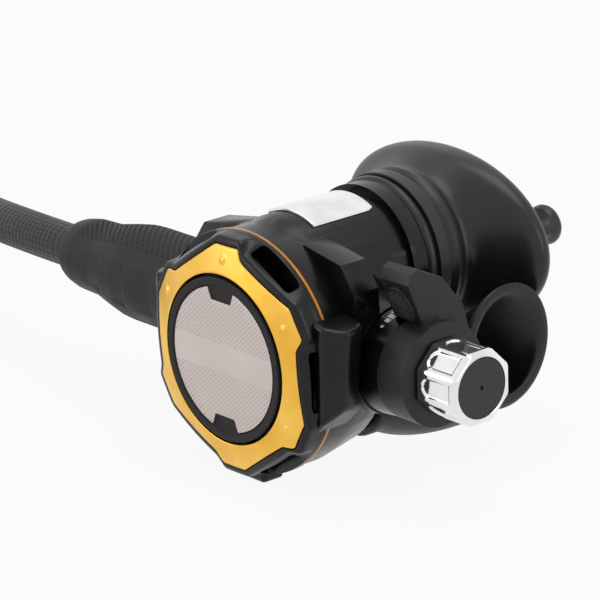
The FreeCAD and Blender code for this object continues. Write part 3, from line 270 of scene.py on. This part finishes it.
def materials():
    """One finish for each of the record's material slots."""
    made = {}

    # glass-filled nylon, injection moulded: near black, glossy, faint flow marks and orange peel
    made["black_nylon"] = Finish("moulded_nylon", "#0D0C0E", "#070608", (0.2, 0.32),
                                 (0.5, 0.012), Specular_IOR_Level=0.3)

    # aluminium, bead blasted then anodised yellow: satin, warm, with an even fine grain
    gold = Finish("anodised_aluminium", "#F3C45C", "#E6AF42", (0.30, 0.38), (0.12, 0.006),
                  patch=14, metal=1.0)
    made["gold_aluminium"] = gold

    # translucent polyurethane seal: amber, wet gloss, glows where it is thin
    made["amber_ring"] = Finish("amber_urethane", "#F0A01E", "#D9850F", (0.18, 0.28),
                                (0.6, 0.01), Subsurface_Weight=0.25, Subsurface_Scale=0.002)

    # moulded rubber with a spark-eroded skin: dark, matt, slightly purple in the light
    made["button_rubber"] = Finish("eroded_rubber", "#161417", "#0F0D10", (0.5, 0.62), (0.2, 0.02),
                                   Specular_IOR_Level=0.3)

    # stainless sheet, rolled with a canvas pattern above and below a smooth band
    steel = Finish("canvas_rolled_steel", "#D3C8C4", "#CDC1BD", (0.36, 0.42), (0.15, 0.004),
                   metal=0.75, patch=12)
    across, _, up = steel.axes()
    off_middle = steel.maths("ABSOLUTE", steel.maths("SUBTRACT", up, 0.0362))
    cloth = steel.maths("GREATER_THAN", off_middle, 0.0041)
    threads = steel.maths("MULTIPLY", steel.wave(across, 0.0015), steel.wave(up, 0.0013))
    steel.emboss(steel.maths("MULTIPLY", cloth, threads), 0.05)
    spots = steel.maths("MULTIPLY", cloth, steel.maths("GREATER_THAN", threads, 0.25))
    steel.tint(steel.maths("MULTIPLY", spots, 0.6), "#A3978F")
    made["steel_plate"] = steel

    # drawn spring wire: bright grey with lines along the draw
    made["spring_steel"] = Finish("drawn_spring_wire", "#B9BBBD", "#9EA1A4", (0.22, 0.34),
                                  (0.3, 0.01), metal=1.0)

    # cast silicone sheet: milky, soft gloss, lets light in
    made["clear_silicone"] = Finish("milky_silicone", "#E4E2DC", "#D6D3CB", (0.3, 0.42),
                                    (0.8, 0.02), Subsurface_Weight=0.3, Subsurface_Scale=0.003)

    # machined acetal: white, waxy, with fine tool rings
    made["white_acetal"] = Finish("machined_acetal", "#F0EFEA", "#E3E1DA", (0.3, 0.4), (0.3, 0.008))

    # brass turned and nickel-chrome plated: bright, slightly wavy mirror
    made["plated_brass"] = Finish("plated_brass", "#DAD9D6", "#C9C8C6", (0.1, 0.2), (1.2, 0.006),
                                  metal=1.0)

    # nitrile o-ring rubber: black, soft sheen
    made["seal_rubber"] = Finish("nitrile_rubber", "#1C1B1D", "#141315", (0.4, 0.52), (0.3, 0.012))

    # vacuum-plated plastic: bright mirror, slight waviness of the moulding under it
    made["chrome_plastic"] = Finish("chrome_plating", "#F1F0F2", "#DFDEE2", (0.05, 0.11),
                                    (2.5, 0.008), metal=1.0)

    # moulded cap, fine satin texture etched in the tool
    made["cap_black"] = Finish("etched_cap", "#1C1B1C", "#151415", (0.45, 0.55), (0.15, 0.015))

    # soft-touch elastomer over nylon: dark grey with a purple cast, silky
    made["lever_elastomer"] = Finish("soft_touch_elastomer", "#292427", "#1D191B", (0.42, 0.55),
                                     (0.18, 0.012), Specular_IOR_Level=0.35)

    # moulded vane, plain dark plastic
    made["vane_plastic"] = Finish("vane_plastic", "#1D1C1E", "#151416", (0.35, 0.45), (0.4, 0.012))

    # pressed silicone: smoky purple-grey, smooth skin with a soft wide highlight
    made["mouth_silicone"] = Finish("smoky_silicone", "#2A252C", "#1C181E", (0.28, 0.4),
                                    (0.7, 0.012), patch=20, Specular_IOR_Level=0.4)

    # nylon tie strap: black; the ratchet of small teeth across it is not drawn
    tie = Finish("strap_nylon", "#1E1D1F", "#161517", (0.35, 0.46), (0.3, 0.012))
    made["tie_nylon"] = tie

    # pressed elastomer of the exhaust tee: dark, satin, a touch warmer than the mouthpiece
    made["tee_elastomer"] = Finish("tee_elastomer", "#211C1F", "#161315", (0.34, 0.48),
                                   (0.5, 0.015), patch=16, Specular_IOR_Level=0.35)

    # moulded sleeve rubber: charcoal with a brown-purple cast, dull
    made["sleeve_rubber"] = Finish("sleeve_rubber", "#2A2527", "#1C191A", (0.5, 0.64),
                                   (0.25, 0.02), Specular_IOR_Level=0.35)

    # nylon yarn braided over the hose: black, each crossing catches light, and the gaps between the
    # yarns get painted shade
    braid = Finish("braided_yarn", "#2B282E", "#1C1A1F", (0.5, 0.66), (0.12, 0.03),
                   Sheen_Weight=0.15)
    made["braided_nylon"] = braid
    return made


def weave(finish, length, pitch, around):
    """Crossing yarns on a curve's own coordinates, with painted shade in the gaps between them;
    length and pitch along it in mm.
    """
    coordinates = add(finish.tree, "ShaderNodeTexCoord").outputs["UV"]
    along, round_it, _ = finish.axes(coordinates)
    along = finish.maths("MULTIPLY", along, length / pitch)
    round_it = finish.maths("MULTIPLY", round_it, float(around))
    one = finish.wave(finish.maths("ADD", along, round_it), 1.0)
    other = finish.wave(finish.maths("SUBTRACT", along, round_it), 1.0)
    crossing = finish.maths("MULTIPLY", one, other)
    height = finish.maths("MULTIPLY_ADD", crossing, 0.5, 0.5)
    finish.emboss(height, 0.45)
    # painted shade: the low gaps between the yarns are coloured near black
    finish.tint(finish.maths("LESS_THAN", height, 0.42), "#0D0C0F")


# ---------------------------------------------------------------- shape tools

def piece(name, points, faces, body, slot, nodes=(), bevel=0.0, angle=32, place=None):
    """A new piece from points in mm; bevel rounds its edges sharper than angle."""
    mesh = bmesh.new()
    corners = [mesh.verts.new((place @ Vector(p) if place else Vector(p)) * MM) for p in points]
    for face in faces:
        if len(set(face)) > 2:
            mesh.faces.new([corners[i] for i in face])
    bmesh.ops.remove_doubles(mesh, verts=mesh.verts, dist=2e-6)
    bmesh.ops.recalc_face_normals(mesh, faces=mesh.faces)
    data = bpy.data.meshes.new(name)
    mesh.to_mesh(data)
    mesh.free()
    return dress(bpy.data.objects.new(name, data), body, slot, nodes, bevel, angle)


def dress(item, body, slot, nodes=(), bevel=0.0, angle=32):
    """Links the piece, gives it its finish and soft edges, and lets it ride."""
    bpy.context.scene.collection.objects.link(item)
    item.data.materials.clear()
    item.data.materials.append(FINISHES[slot].material)
    if item.type == "MESH":
        item.data.set_sharp_from_angle(angle=math.radians(50 if bevel else 40))
        for face in item.data.polygons:
            face.use_smooth = True
        if bevel:
            edge = item.modifiers.new("edges", "BEVEL")
            edge.width = bevel * MM
            edge.segments = 3
            edge.limit_method = "ANGLE"
            edge.angle_limit = math.radians(angle)
            edge.use_clamp_overlap = True
            edge.harden_normals = True
    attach(item, body)
    if nodes:
        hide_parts(*nodes)
    return item


def skin(rings, loop=False):
    """Points and faces over rings of equal count; loop joins the last ring to the first."""
    count = len(rings[0])
    points = [p for ring in rings for p in ring]
    faces = []
    for i in range(len(rings) if loop else len(rings) - 1):
        j = (i + 1) % len(rings)
        for k in range(count):
            n = (k + 1) % count
            faces.append((i * count + k, i * count + n, j * count + n, j * count + k))
    return points, faces


def rings_about(profile, axis, centre, steps=160, relief=None):
    """Rings of (along, radius) points about an axis; relief(along, angle) adds to the radius."""
    rings = []
    for along, radius in profile:
        ring = []
        for k in range(steps):
            angle = 2 * math.pi * k / steps
            reach = radius + (relief(along, angle) if relief else 0)
            a, b = reach * math.cos(angle), reach * math.sin(angle)
            ring.append(centre + Vector((along, a, b) if axis == "x" else (a, along, b)))
        rings.append(ring)
    return rings


def turned(profile, axis, centre, steps=160, loop=True):
    """Points and faces of a turned shape; loop closes its profile."""
    return skin(rings_about(profile, axis, centre, steps), loop)


def radius_of(outline, angle):
    """Distance from the middle to a star-shaped outline of (x, y) corners, at an angle."""
    ray = Vector((math.cos(angle), math.sin(angle)))
    for i, start in enumerate(outline):
        a, b = Vector(start), Vector(outline[(i + 1) % len(outline)])
        side = b - a
        cross = ray.x * side.y - ray.y * side.x
        if abs(cross) < 1e-12:
            continue
        reach = (a.x * side.y - a.y * side.x) / cross
        share = (a.x * ray.y - a.y * ray.x) / cross
        if reach > 0 and -1e-9 <= share <= 1 + 1e-9:
            return reach
    raise ValueError("the outline doesn't go round its middle")


def sheet(edge, front, back, steps, stations, hole=0.0, rounding=0.4):
    """A plate about its own middle. edge(angle) is its outer radius; front and back give the
    height at (u, v); both rims are rounded. Local axes are u, v and the height."""
    columns = []
    for k in range(steps):
        angle = 2 * math.pi * k / steps
        outer = edge(angle)
        turn = Vector((math.cos(angle), math.sin(angle)))
        inner = hole + rounding if hole else 0.0
        spread = [inner + (outer - rounding - inner) * i / stations for i in range(stations + 1)]
        column = []
        if hole:
            column += [(hole, back, 0.0), (hole, front, rounding), (hole + 0.12 * rounding, front,
                       0.5 * rounding), (hole + 0.5 * rounding, front, 0.12 * rounding)]
        column += [(r, front, 0.0) for r in spread]
        column += [(outer - 0.5 * rounding, front, 0.12 * rounding),
                   (outer - 0.12 * rounding, front, 0.5 * rounding),
                   (outer, front, rounding), (outer, back, 0.0)]
        if not hole:
            column.append((0.0, back, 0.0))
        columns.append([(turn.x * r, turn.y * r, height(turn.x * r, turn.y * r) - drop)
                        for r, height, drop in column])
    rings = [[columns[k][i] for k in range(steps)] for i in range(len(columns[0]))]
    return skin(rings, loop=bool(hole))


def extruded(outline, low, high, arrange):
    """A prism over an outline; arrange(a, b, along) gives each point."""
    count = len(outline)
    points = [arrange(a, b, low) for a, b in outline] + [arrange(a, b, high) for a, b in outline]
    faces = [tuple(range(count))[::-1], tuple(range(count, 2 * count))]
    faces += [(i, (i + 1) % count, count + (i + 1) % count, count + i) for i in range(count)]
    return points, faces


def rounded(node, slot, body, width, angle=28):
    """A copy of a machined or moulded shape with its edges broken."""
    mesh = bmesh.new()
    mesh.from_mesh(frame["nodes"][node].data)
    bmesh.ops.remove_doubles(mesh, verts=mesh.verts, dist=3e-6)
    bmesh.ops.dissolve_limit(mesh, angle_limit=math.radians(0.8), verts=mesh.verts,
                             edges=mesh.edges)
    data = bpy.data.meshes.new(node + "_visual")
    mesh.to_mesh(data)
    mesh.free()
    item = bpy.data.objects.new(node + "_visual", data)
    return dress(item, body, slot, [node], width, angle)


def springy(node, slot):
    """A copy without bevelled edges and with a mesh of its own; it stays the same shape when its
    joint moves.
    """
    copy = rounded(node, slot, "case", 0.0)
    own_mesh(copy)


# u, v and the height out of the front, and u, v and the height out of the knob's end
FACING = Matrix(((1, 0, 0, 0), (0, 0, -1, 0), (0, 1, 0, 36), (0, 0, 0, 1)))
OUTWARD = Matrix(((0, 0, 1, 0), (1, 0, 0, 23), (0, 1, 0, 36), (0, 0, 0, 1)))


def smooth(low, high, value):
    """0 below low, 1 above high, and an even S between them."""
    share = min(1.0, max(0.0, (value - low) / (high - low)))
    return share * share * (3 - 2 * share)


# ---------------------------------------------------------------- front of the case

CORNERS = [math.radians(30 + 60 * k) for k in range(6)]


def plate_outline():
    """Hexagon with cut corners and a hooked step on one side of each."""
    outline = []
    for corner in CORNERS:
        for degrees, reach in CORNER_STEP:
            angle = corner + math.radians(degrees)
            outline.append((reach * math.cos(angle), reach * math.sin(angle)))
    return outline


def plate_edge(angle):
    """The outline's radius, its corners eased by averaging over a small arc."""
    return sum(radius_of(PLATE, angle + math.radians(d)) for d in (-1.0, -0.5, 0, 0.5, 1.0)) / 5


def slope(reach):
    """How far the front plate's cone stands in front of the rim at a radius."""
    return PLATE_FRONT - (reach - PLATE_HOLE) * PLATE_FALL


def front_plate():
    """Anodised plate: rolled hole, hooked corners and a small dome at each."""
    def front(u, v):
        reach = math.hypot(u, v)
        lift = 0.0
        for corner in CORNERS:
            gap = math.hypot(u - STUD_CIRCLE * math.cos(corner),
                             v - STUD_CIRCLE * math.sin(corner))
            lift = max(lift, 0.5 * (1 - smooth(0.2, 1.5, gap)))
        return slope(reach) + lift
    shape = sheet(plate_edge, front, lambda u, v: slope(math.hypot(u, v)) - PLATE_THICKNESS,
                  720, 30, hole=PLATE_HOLE, rounding=0.5)
    piece("front_plate", *shape, "case", "gold_aluminium", ["bezel_plate"], place=FACING)


def button():
    """Rubber button with a raised rim round its steel face."""
    def front(u, v):
        reach = math.hypot(u, v)
        rim = smooth(20.5, 21.0, reach)
        return BUTTON_FACE + BUTTON_RIM * rim
    shape = sheet(lambda angle: BUTTON_RADIUS, front, lambda u, v: BUTTON_BACK, 180, 70,
                  rounding=0.35)
    piece("button", *shape, "purge", "button_rubber", ["purge_button"], place=FACING)
    inset = PUSH_RADIUS - 0.4
    shape = turned([(-8.5, 0), (-8.5, inset), (-8.1, PUSH_RADIUS), (-0.8, PUSH_RADIUS),
                    (-0.4, inset), (-0.4, 0)], "y", CENTRE, 96, loop=False)
    piece("button_boss", *shape, "purge", "button_rubber")

    def edge(angle):
        rise, across = abs(math.sin(angle)), abs(math.cos(angle))
        if rise > 0.8:
            floor = NOTCH_FLOOR / rise
            if across * floor < NOTCH_HALF:
                return floor
            lean = across - 0.3833 * rise      # the notch widens outwards
            if lean < -0.05:
                return min(FACE_RADIUS, -2.248 / lean)
        return FACE_RADIUS
    shape = sheet(edge, lambda u, v: FACE_FRONT, lambda u, v: FACE_FRONT - 0.55, 720, 6,
                  rounding=0.14)
    piece("button_face", *shape, "purge", "steel_plate", ["purge_plate"], place=FACING)


def cover():
    """Cover with a lip round the plate, a flared flank, six water windows and two ears."""
    rings = []
    steps = 540
    edges = [plate_edge(2 * math.pi * k / steps) for k in range(steps)]
    stations = [(None, 24.4, 1.7), (0.2, None, 1.7), (0.2, None, 0.5), (0.45, None, 0.22),
                (1.0, None, 0.1), (1.7, None, 0.2), (2.05, None, 0.5), (LIP, None, 1.0)]
    for follow, fixed, back in stations:
        reaches = [fixed if follow is None else edge + follow for edge in edges]
        rings.append([(r, back - slope(r)) for r in reaches])
    for share in (0.25, 0.5, 0.75, 1.0):
        rings.append([(edge + LIP + (34.0 - edge - LIP) * share,
                       (1.0 - slope(edge + LIP)) * (1 - share) - 2.0 * share) for edge in edges])
    for reach, back in ((COVER_RADIUS, -1.6), (COVER_RADIUS, -0.7), (33.8, -0.45),
                        (25.0, -0.45), (25.0, -1.2), (30.2, -1.2), (30.2, -4.8), (24.4, -6.3)):
        rings.append([(reach, back)] * steps)
    placed = [[CENTRE + Vector((r * math.cos(2 * math.pi * k / steps), y,
                                r * math.sin(2 * math.pi * k / steps)))
               for k, (r, y) in enumerate(ring)] for ring in rings]
    shell = piece("cover", *skin(placed, loop=True), "case", "black_nylon", ["front_cover"])

    # stadium-shaped cutters, one through the middle of each side
    points, faces = [], []
    for k in range(6):
        turn = Matrix.Rotation(math.radians(-60 * k), 3, "Y")
        outline = []
        ends = ((6.6, -2.8), (-6.6, -2.8), (-6.6, -5.2), (6.6, -5.2))
        for corner, (along, deep) in enumerate(ends):
            for bit in range(7):
                angle = math.radians(90 * corner + 15 * bit)
                outline.append((along + 1.9 * math.cos(angle), deep + 0.9 * math.sin(angle)))
        more, sides = extruded(outline, 26.0, 42.0,
                               lambda a, b, r: CENTRE + turn @ Vector((r, b, a)))
        faces += [tuple(i + len(points) for i in side) for side in sides]
        points += more
    cutter = piece("cutter", points, faces, "case", "black_nylon")
    carve = shell.modifiers.new("windows", "BOOLEAN")
    carve.object = cutter
    carve.operation = "DIFFERENCE"
    carve.solver = "EXACT"
    bpy.context.view_layer.update()
    carved = bpy.data.meshes.new_from_object(
        shell.evaluated_get(bpy.context.evaluated_depsgraph_get()))
    shell.modifiers.clear()
    shell.data = carved
    carved.set_sharp_from_angle(angle=math.radians(40))
    bpy.data.objects.remove(cutter)

    for side, sign in (("right", 1), ("left", -1)):
        outline = [(29.6, -4.3), (34.6, -4.5), (37.6, -2.0), (39.5, 0.6), (39.2, 4.6), (36.8, 7.8),
                   (29.6, 8.0)]
        def cut(a, b, z, sign=sign):
            """The ear is lower at its outer edge and leans in at its lower end."""
            out = max(0.0, a - EAR_FOOT)
            return Vector((sign * (a - (0.32 * out if z < 36 else 0)), b,
                           z + (0.9 * out if z < 36 else -0.25 * out)))
        shape = extruded(outline, 20.5, 52.5, cut)
        piece("ear_" + side, *shape, "case", "black_nylon", bevel=1.3)
    shape = extruded([(-7, -3.2), (7, -3.2), (7, 4.4), (-7, 4.4)], 0.0, 5.0,
                     lambda a, b, z: Vector((a, b, z)))
    piece("foot", *shape, "case", "black_nylon", bevel=1.2)


# ---------------------------------------------------------------- mouthpiece and exhaust tee

def ovals(stations, steps=128, centre_x=0.0):
    """Rings about an axis along Y from (y, half width, half height, centre z)."""
    return [[(centre_x + a * math.cos(2 * math.pi * k / steps), y,
              z + b * math.sin(2 * math.pi * k / steps)) for k in range(steps)]
            for y, a, b, z in stations]


def soften(item):
    """Rounds a coarse shape by one step of subdivision."""
    smoothing = item.modifiers.new("smooth", "SUBSURF")
    smoothing.levels = 1
    smoothing.render_levels = 1


def mouth():
    """Neck with a rolled bead, flared funnel, thick rolled lip and two bite tabs."""
    stations = [
        (46.1, 20.6, 20.6, 52), (46.3, 21.3, 21.3, 52), (47.2, 22.2, 22.2, 52),
        (48.3, 22.3, 22.3, 52), (49.2, 21.6, 21.6, 52), (49.6, 21.4, 21.4, 52),
        (53.6, 21.4, 21.4, 52), (54.4, 22.3, 22.3, 52), (56.0, 23.3, 23.3, 52),
        (57.8, 23.0, 22.8, 52), (59.2, 22.2, 21.9, 52), (60.6, 22.6, 22.0, 52.1),
        (62.5, 24.6, 22.8, 52.2), (64.8, 28.0, 23.6, 52.5), (67.0, 32.2, 24.3, 52.8),
        (68.8, 36.2, 24.8, 53), (70.4, 39.0, 24.9, 53), (71.8, 40.0, 25.0, 53),
        (73.6, 40.0, 25.0, 53), (75.0, 39.2, 24.4, 53), (75.5, 38.0, 23.4, 53),
        (75.0, 36.6, 22.2, 53), (73.6, 33.5, 20.0, 53), (72.2, 28.5, 16.5, 53),
        (70.8, 22.0, 12.5, 53), (69.6, 17.0, 9.8, 53), (67.5, 15.6, 9.4, 53),
        (64.0, 16.0, 12.0, 52.6), (60.0, 17.4, 15.8, 52.2), (58.0, 18.4, 18.4, 52),
        (46.1, 18.45, 18.45, 52)]
    soften(piece("mouthpiece_body", *skin(ovals(stations), loop=True), "case", "mouth_silicone",
                 ["mouthpiece"]))
    for side, sign in (("right", 1), ("left", -1)):
        tab = [(72.6, 5.2, 0.1, 56.5), (72.8, 6.2, 3.4, 56.5), (75.5, 6.0, 2.6, 56.5),
               (80.0, 5.8, 2.2, 56.5), (84.5, 5.9, 2.4, 56.5), (86.0, 6.1, 5.4, 56.5),
               (88.2, 6.1, 5.9, 56.5), (89.4, 5.4, 5.2, 56.5), (89.5, 4.2, 0.1, 56.5)]
        soften(piece("bite_tab_" + side, *skin(ovals(tab, 32, 24.0 * sign)), "case",
                     "mouth_silicone"))


def horn_ring(share, thick, steps=88):
    """One oval across the tee, share -1 to 1 along it, thick mm inside its outer skin."""
    bend = abs(share) ** 1.85
    flare = 1.1 * smooth(0.9, 0.985, abs(share)) if thick < 1 else 0.0
    tall = HORN_TALL + HORN_GROWTH_TALL * bend - thick + flare
    deep = HORN_DEEP + HORN_GROWTH_DEEP * bend - thick + flare
    return [(HORN_REACH * share,
             48 + HORN_BACK * bend + deep * math.cos(2 * math.pi * k / steps),
             HORN_TALL + HORN_RISE * bend + tall * math.sin(2 * math.pi * k / steps))
            for k in range(steps)]


def exhaust_tee():
    """Tee with a wide horn to each side, its mouths edged by a rolled lip."""
    shares = [i / 36 for i in range(-35, 36)]
    rings = [horn_ring(-0.998, 0.6)] + [horn_ring(s, 0.0) for s in shares] + [
        horn_ring(0.998, 0.6)]
    rings += [horn_ring(1.0, 1.5), horn_ring(0.992, 2.6)]
    rings += [horn_ring(s, 2.9 - 0.6 * (1 - abs(s))) for s in reversed(shares)]
    rings += [horn_ring(-0.992, 2.6), horn_ring(-1.0, 1.5)]
    soften(piece("exhaust_tee", *skin(rings, loop=True), "case", "tee_elastomer",
                 ["exhaust_deflector"]))
    port = Vector((0, 0, 16))
    shape = turned([(35.1, 12.1), (35.1, 13.6), (35.6, 14.0), (43.3, 14.0), (43.3, 12.1)],
                   "y", port, 96)
    piece("tee_collar", *shape, "case", "tee_elastomer")


# ---------------------------------------------------------------- knob side

def collar_marks():
    """White scale on the collar: a wedge in three steps and two small marks."""
    marks = ((99, 104, 35.0, 38.2), (105.5, 111, 35.6, 37.9), (112.5, 118, 36.0, 37.6),
             (123, 126, 36.3, 37.2), (83, 87, 39.0, 40.4), (76, 79, 39.0, 40.2))
    points, faces = [], []
    for low, high, left, right in marks:
        grid = []
        for i in range(5):
            angle = math.radians(low + (high - low) * i / 4)
            for along in (left, right):
                reach = 15.04 - (along - 33.55) * 0.0892
                grid.append(BARREL + Vector((along, reach * math.cos(angle),
                                             reach * math.sin(angle))))
        base = len(points)
        points += grid
        faces += [(base + 2 * i, base + 2 * i + 1, base + 2 * i + 3, base + 2 * i + 2)
                  for i in range(4)]
    piece("collar_marks", points, faces, "case", "white_acetal")


def thumb_grip():
    """Pad on the lever: raised border round rows of small pyramids."""
    lean = math.atan2(6, 14)
    out = Vector((0, -math.cos(lean), -math.sin(lean)))
    rise = Vector((0, -math.sin(lean), math.cos(lean)))
    low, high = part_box("thumb_pad")
    middle = (low + high) / 2 / MM
    place = Matrix.Translation(middle) @ Matrix(((1, 0, 0), rise, out)).transposed().to_4x4()
    outline = [(-4.2, -5.2), (2.9, -5.3), (4.0, -4.2), (4.3, -1.5), (4.2, 1.8), (3.0, 4.2),
               (1.0, 5.3), (-1.5, 5.0), (-4.2, 3.0)]

    def front(u, v):
        reach = radius_of(outline, math.atan2(v, u)) - math.hypot(u, v)
        border = 1 - smooth(0.7, 1.0, reach)
        a, b = abs((u / 1.05) % 1 - 0.5), abs((v / 1.05) % 1 - 0.5)
        pyramid = 1 - 2 * max(a, b)
        return 0.1 + 0.32 * border + 0.5 * pyramid * (1 - border)
    shape = sheet(lambda angle: radius_of(outline, angle), front, lambda u, v: -0.55, 240, 26,
                  rounding=0.2)
    piece("thumb_grip", *shape, "venturi", "lever_elastomer", ["thumb_pad"], place=place)


def knob():
    """Bright knob with eight flats, each with a sunk panel, and a satin cap."""
    def relief(along, angle):
        """A flat with a panel that is round at its inner end, every 45 degrees."""
        across = (math.degrees(angle) + 22.5) % 45 - 22.5
        flat = min(KNOB_RADIUS, KNOB_FLAT / math.cos(math.radians(across))) - KNOB_RADIUS
        sideways = abs(across) * 0.187
        gap = math.hypot(sideways, max(0.0, 56.3 - along))
        sunk = (1 - smooth(PANEL_HALF, PANEL_HALF + 0.35, gap)) * (1 - smooth(63.6, 63.95, along))
        return flat - PANEL_DEPTH * sunk
    outer = [(51.5, -0.5), (51.65, -0.15), (52.0, 0.0)]
    outer += [(52.0 + 0.25 * i, 0.0) for i in range(1, 53)]
    outer += [(65.4, -0.12), (65.75, -0.45), (65.95, -0.9), (66.0, -1.3)]
    outer = [(along, KNOB_RADIUS + inset) for along, inset in outer]
    inner = [(66.0, 8.75), (65.85, 8.5), (62.0, 8.5), (62.0, 7.4), (53.5, 7.4), (53.5, 9.0),
             (51.5, 9.0)]
    rings = rings_about(outer, "x", BARREL, 360, relief) + rings_about(inner, "x", BARREL, 360)
    piece("knob_body", *skin(rings, loop=True), "knob", "chrome_plastic", ["knob_shell"])

    def front(u, v):
        reach, angle = math.hypot(u, v), math.degrees(math.atan2(v, u)) % 360
        hole = 1 - smooth(0.45, 0.6, reach)
        ring = smooth(1.7, 1.85, reach) * (1 - smooth(2.05, 2.2, reach))
        arc = smooth(5.3, 5.5, reach) * (1 - smooth(5.9, 6.1, reach))
        arc *= smooth(205, 209, angle) * (1 - smooth(262, 266, angle))
        return 65.85 - 0.7 * hole - 0.08 * ring - 0.16 * arc
    shape = sheet(lambda angle: CAP_RADIUS, front, lambda u, v: 62.1, 200, 56, rounding=0.2)
    piece("knob_face", *shape, "knob", "cap_black", ["knob_cap"], place=OUTWARD)


# ---------------------------------------------------------------- sleeve

def sleeve():
    """Rubber protector: knurled above and below, finger dips along its sides."""
    shape = [(-105.0, 6.9), (-104.4, 8.0), (-103.0, 9.0), (-101.0, 9.8), (-97.0, 10.6),
             (-88.0, 10.9), (-80.0, 12.7), (-74.0, 13.8), (-70.0, 14.0), (-50.0, 14.0),
             (-42.4, 13.5), (-41.7, 13.0)]

    def radius(along):
        """The sleeve's outside, straight between the points of its shape."""
        for (a, low), (b, high) in zip(shape, shape[1:]):
            if along <= b:
                return low + (high - low) * (along - a) / (b - a)
        return shape[-1][1]

    def relief(along, angle):
        """Crossing ribs above and below, and finger dips that deepen along each side."""
        turn = math.degrees(angle)
        off_top = abs((turn % 180) - 90)
        knurl = (1 - smooth(40, 46, off_top)) * smooth(-97, -94, along) * (
            1 - smooth(-45, -43.5, along))
        one = math.sin(2 * math.pi * (along / 2.3 + turn / 11.25))
        other = math.sin(2 * math.pi * (along / 2.3 - turn / 11.25))
        off_side = abs(((turn + 90) % 180) - 90)
        dips = (1 - smooth(20, 30, off_side)) * smooth(-93, -92, along) * (
            1 - smooth(-55.5, -54, along))
        phase = ((along + 93) % 13) / 13
        return 0.26 * knurl * (max(one, other) - 0.9) - 0.75 * dips * smooth(0.0, 0.88, phase) * (
            1 - smooth(0.9, 1.0, phase))
    stations = [-105.0 + 63.3 * i / 181 for i in range(182)]
    outer = [(along, radius(along)) for along in stations]
    inner = [(-41.65, 12.6), (-62.0, 12.6), (-62.0, 8.1), (-83.0, 8.1), (-83.0, 6.45),
             (-105.0, 6.45)]
    rings = rings_about(outer, "x", BARREL, 288, relief) + rings_about(inner, "x", BARREL, 288)
    piece("sleeve", *skin(rings, loop=True), "case", "sleeve_rubber", ["hose_sleeve"])


# ---------------------------------------------------------------- hose

def hose():
    """Braided hose: level out of the sleeve, down to the floor and round one wide coil."""
    route = [(-64, 23, 36), (-106, 23, 36), (-128, 23, 36), (-163, 28, 34),
             (-192, 48.5, 27.5), (-223.5, 61.5, 18.5), (-258.5, 61, 11.5), (-288.5, 44.5, 7.4)]
    for k in range(21):
        angle = 160 + 19.75 * k
        reach = COIL_RADIUS - COIL_SHRINK * (angle - COIL_START) / 360
        rise = 14.25 * smooth(470, 560, angle)      # climbs over its own first turn
        turn = math.radians(angle)
        route.append(COIL_CENTRE + Vector((reach * math.cos(turn), reach * math.sin(turn),
                                           6.6 + rise)))
    heading = math.radians(HOSE_END_HEADING)
    for along in (6, 15):
        route.append(HOSE_END + along * Vector((math.cos(heading), math.sin(heading), 0)))
    data = bpy.data.curves.new("hose_line", "CURVE")
    data.dimensions = "3D"
    line = data.splines.new("NURBS")
    line.points.add(len(route) - 1)
    for point, place in zip(line.points, route):
        point.co = (*(Vector(place) * MM), 1)
    line.order_u = 3
    line.use_endpoint_u = True
    line.resolution_u = 12
    data.bevel_depth = HOSE_RADIUS * MM
    data.bevel_resolution = 6
    data.use_fill_caps = True
    item = dress(bpy.data.objects.new("braided_hose", data), "case", "braided_nylon",
                 ["hose", "hose_coil"])
    weave(FINISHES["braided_nylon"], HOSE_LENGTH, 3.1, 14)


camera()
studio()
FINISHES = materials()
PLATE = plate_outline()
front_plate()
button()
cover()
mouth()
exhaust_tee()
collar_marks()
thumb_grip()
knob()
sleeve()
for node, slot, body, width in (
        ("case", "black_nylon", "case", 0.8), ("barrel_collar", "black_nylon", "case", 0.35),
        ("mouthpiece_tie", "tie_nylon", "case", 0.3), ("trim_ring", "amber_ring", "case", 0.2),
        ("emblem_plate", "chrome_plastic", "case", 0.3),
        ("venturi_lever", "lever_elastomer", "venturi", 0.8),
        ("hose_nut", "plated_brass", "case", 0.3)):
    rounded(node, slot, body, width)
for node, slot, joint, axis, fixed, travel in (
        ("purge_spring", "spring_steel", "purge_press", 1, -0.0022, 0.003),
        ("diaphragm", "clear_silicone", "purge_press", 1, 0.0006, 0.003),
        ("poppet_spring", "spring_steel", "poppet_travel", 0, 0.028, 0.001)):
    springy(node, slot)
FITTING = rounded("first_stage_fitting", "plated_brass", "case", 0.3)
hose()

for name, item in frame["nodes"].items():
    slot = next(s["material_slot"] for s in frame["record"]["subparts"] if s["node"] == name)
    item.data.materials.clear()
    item.data.materials.append(FINISHES[slot].material)
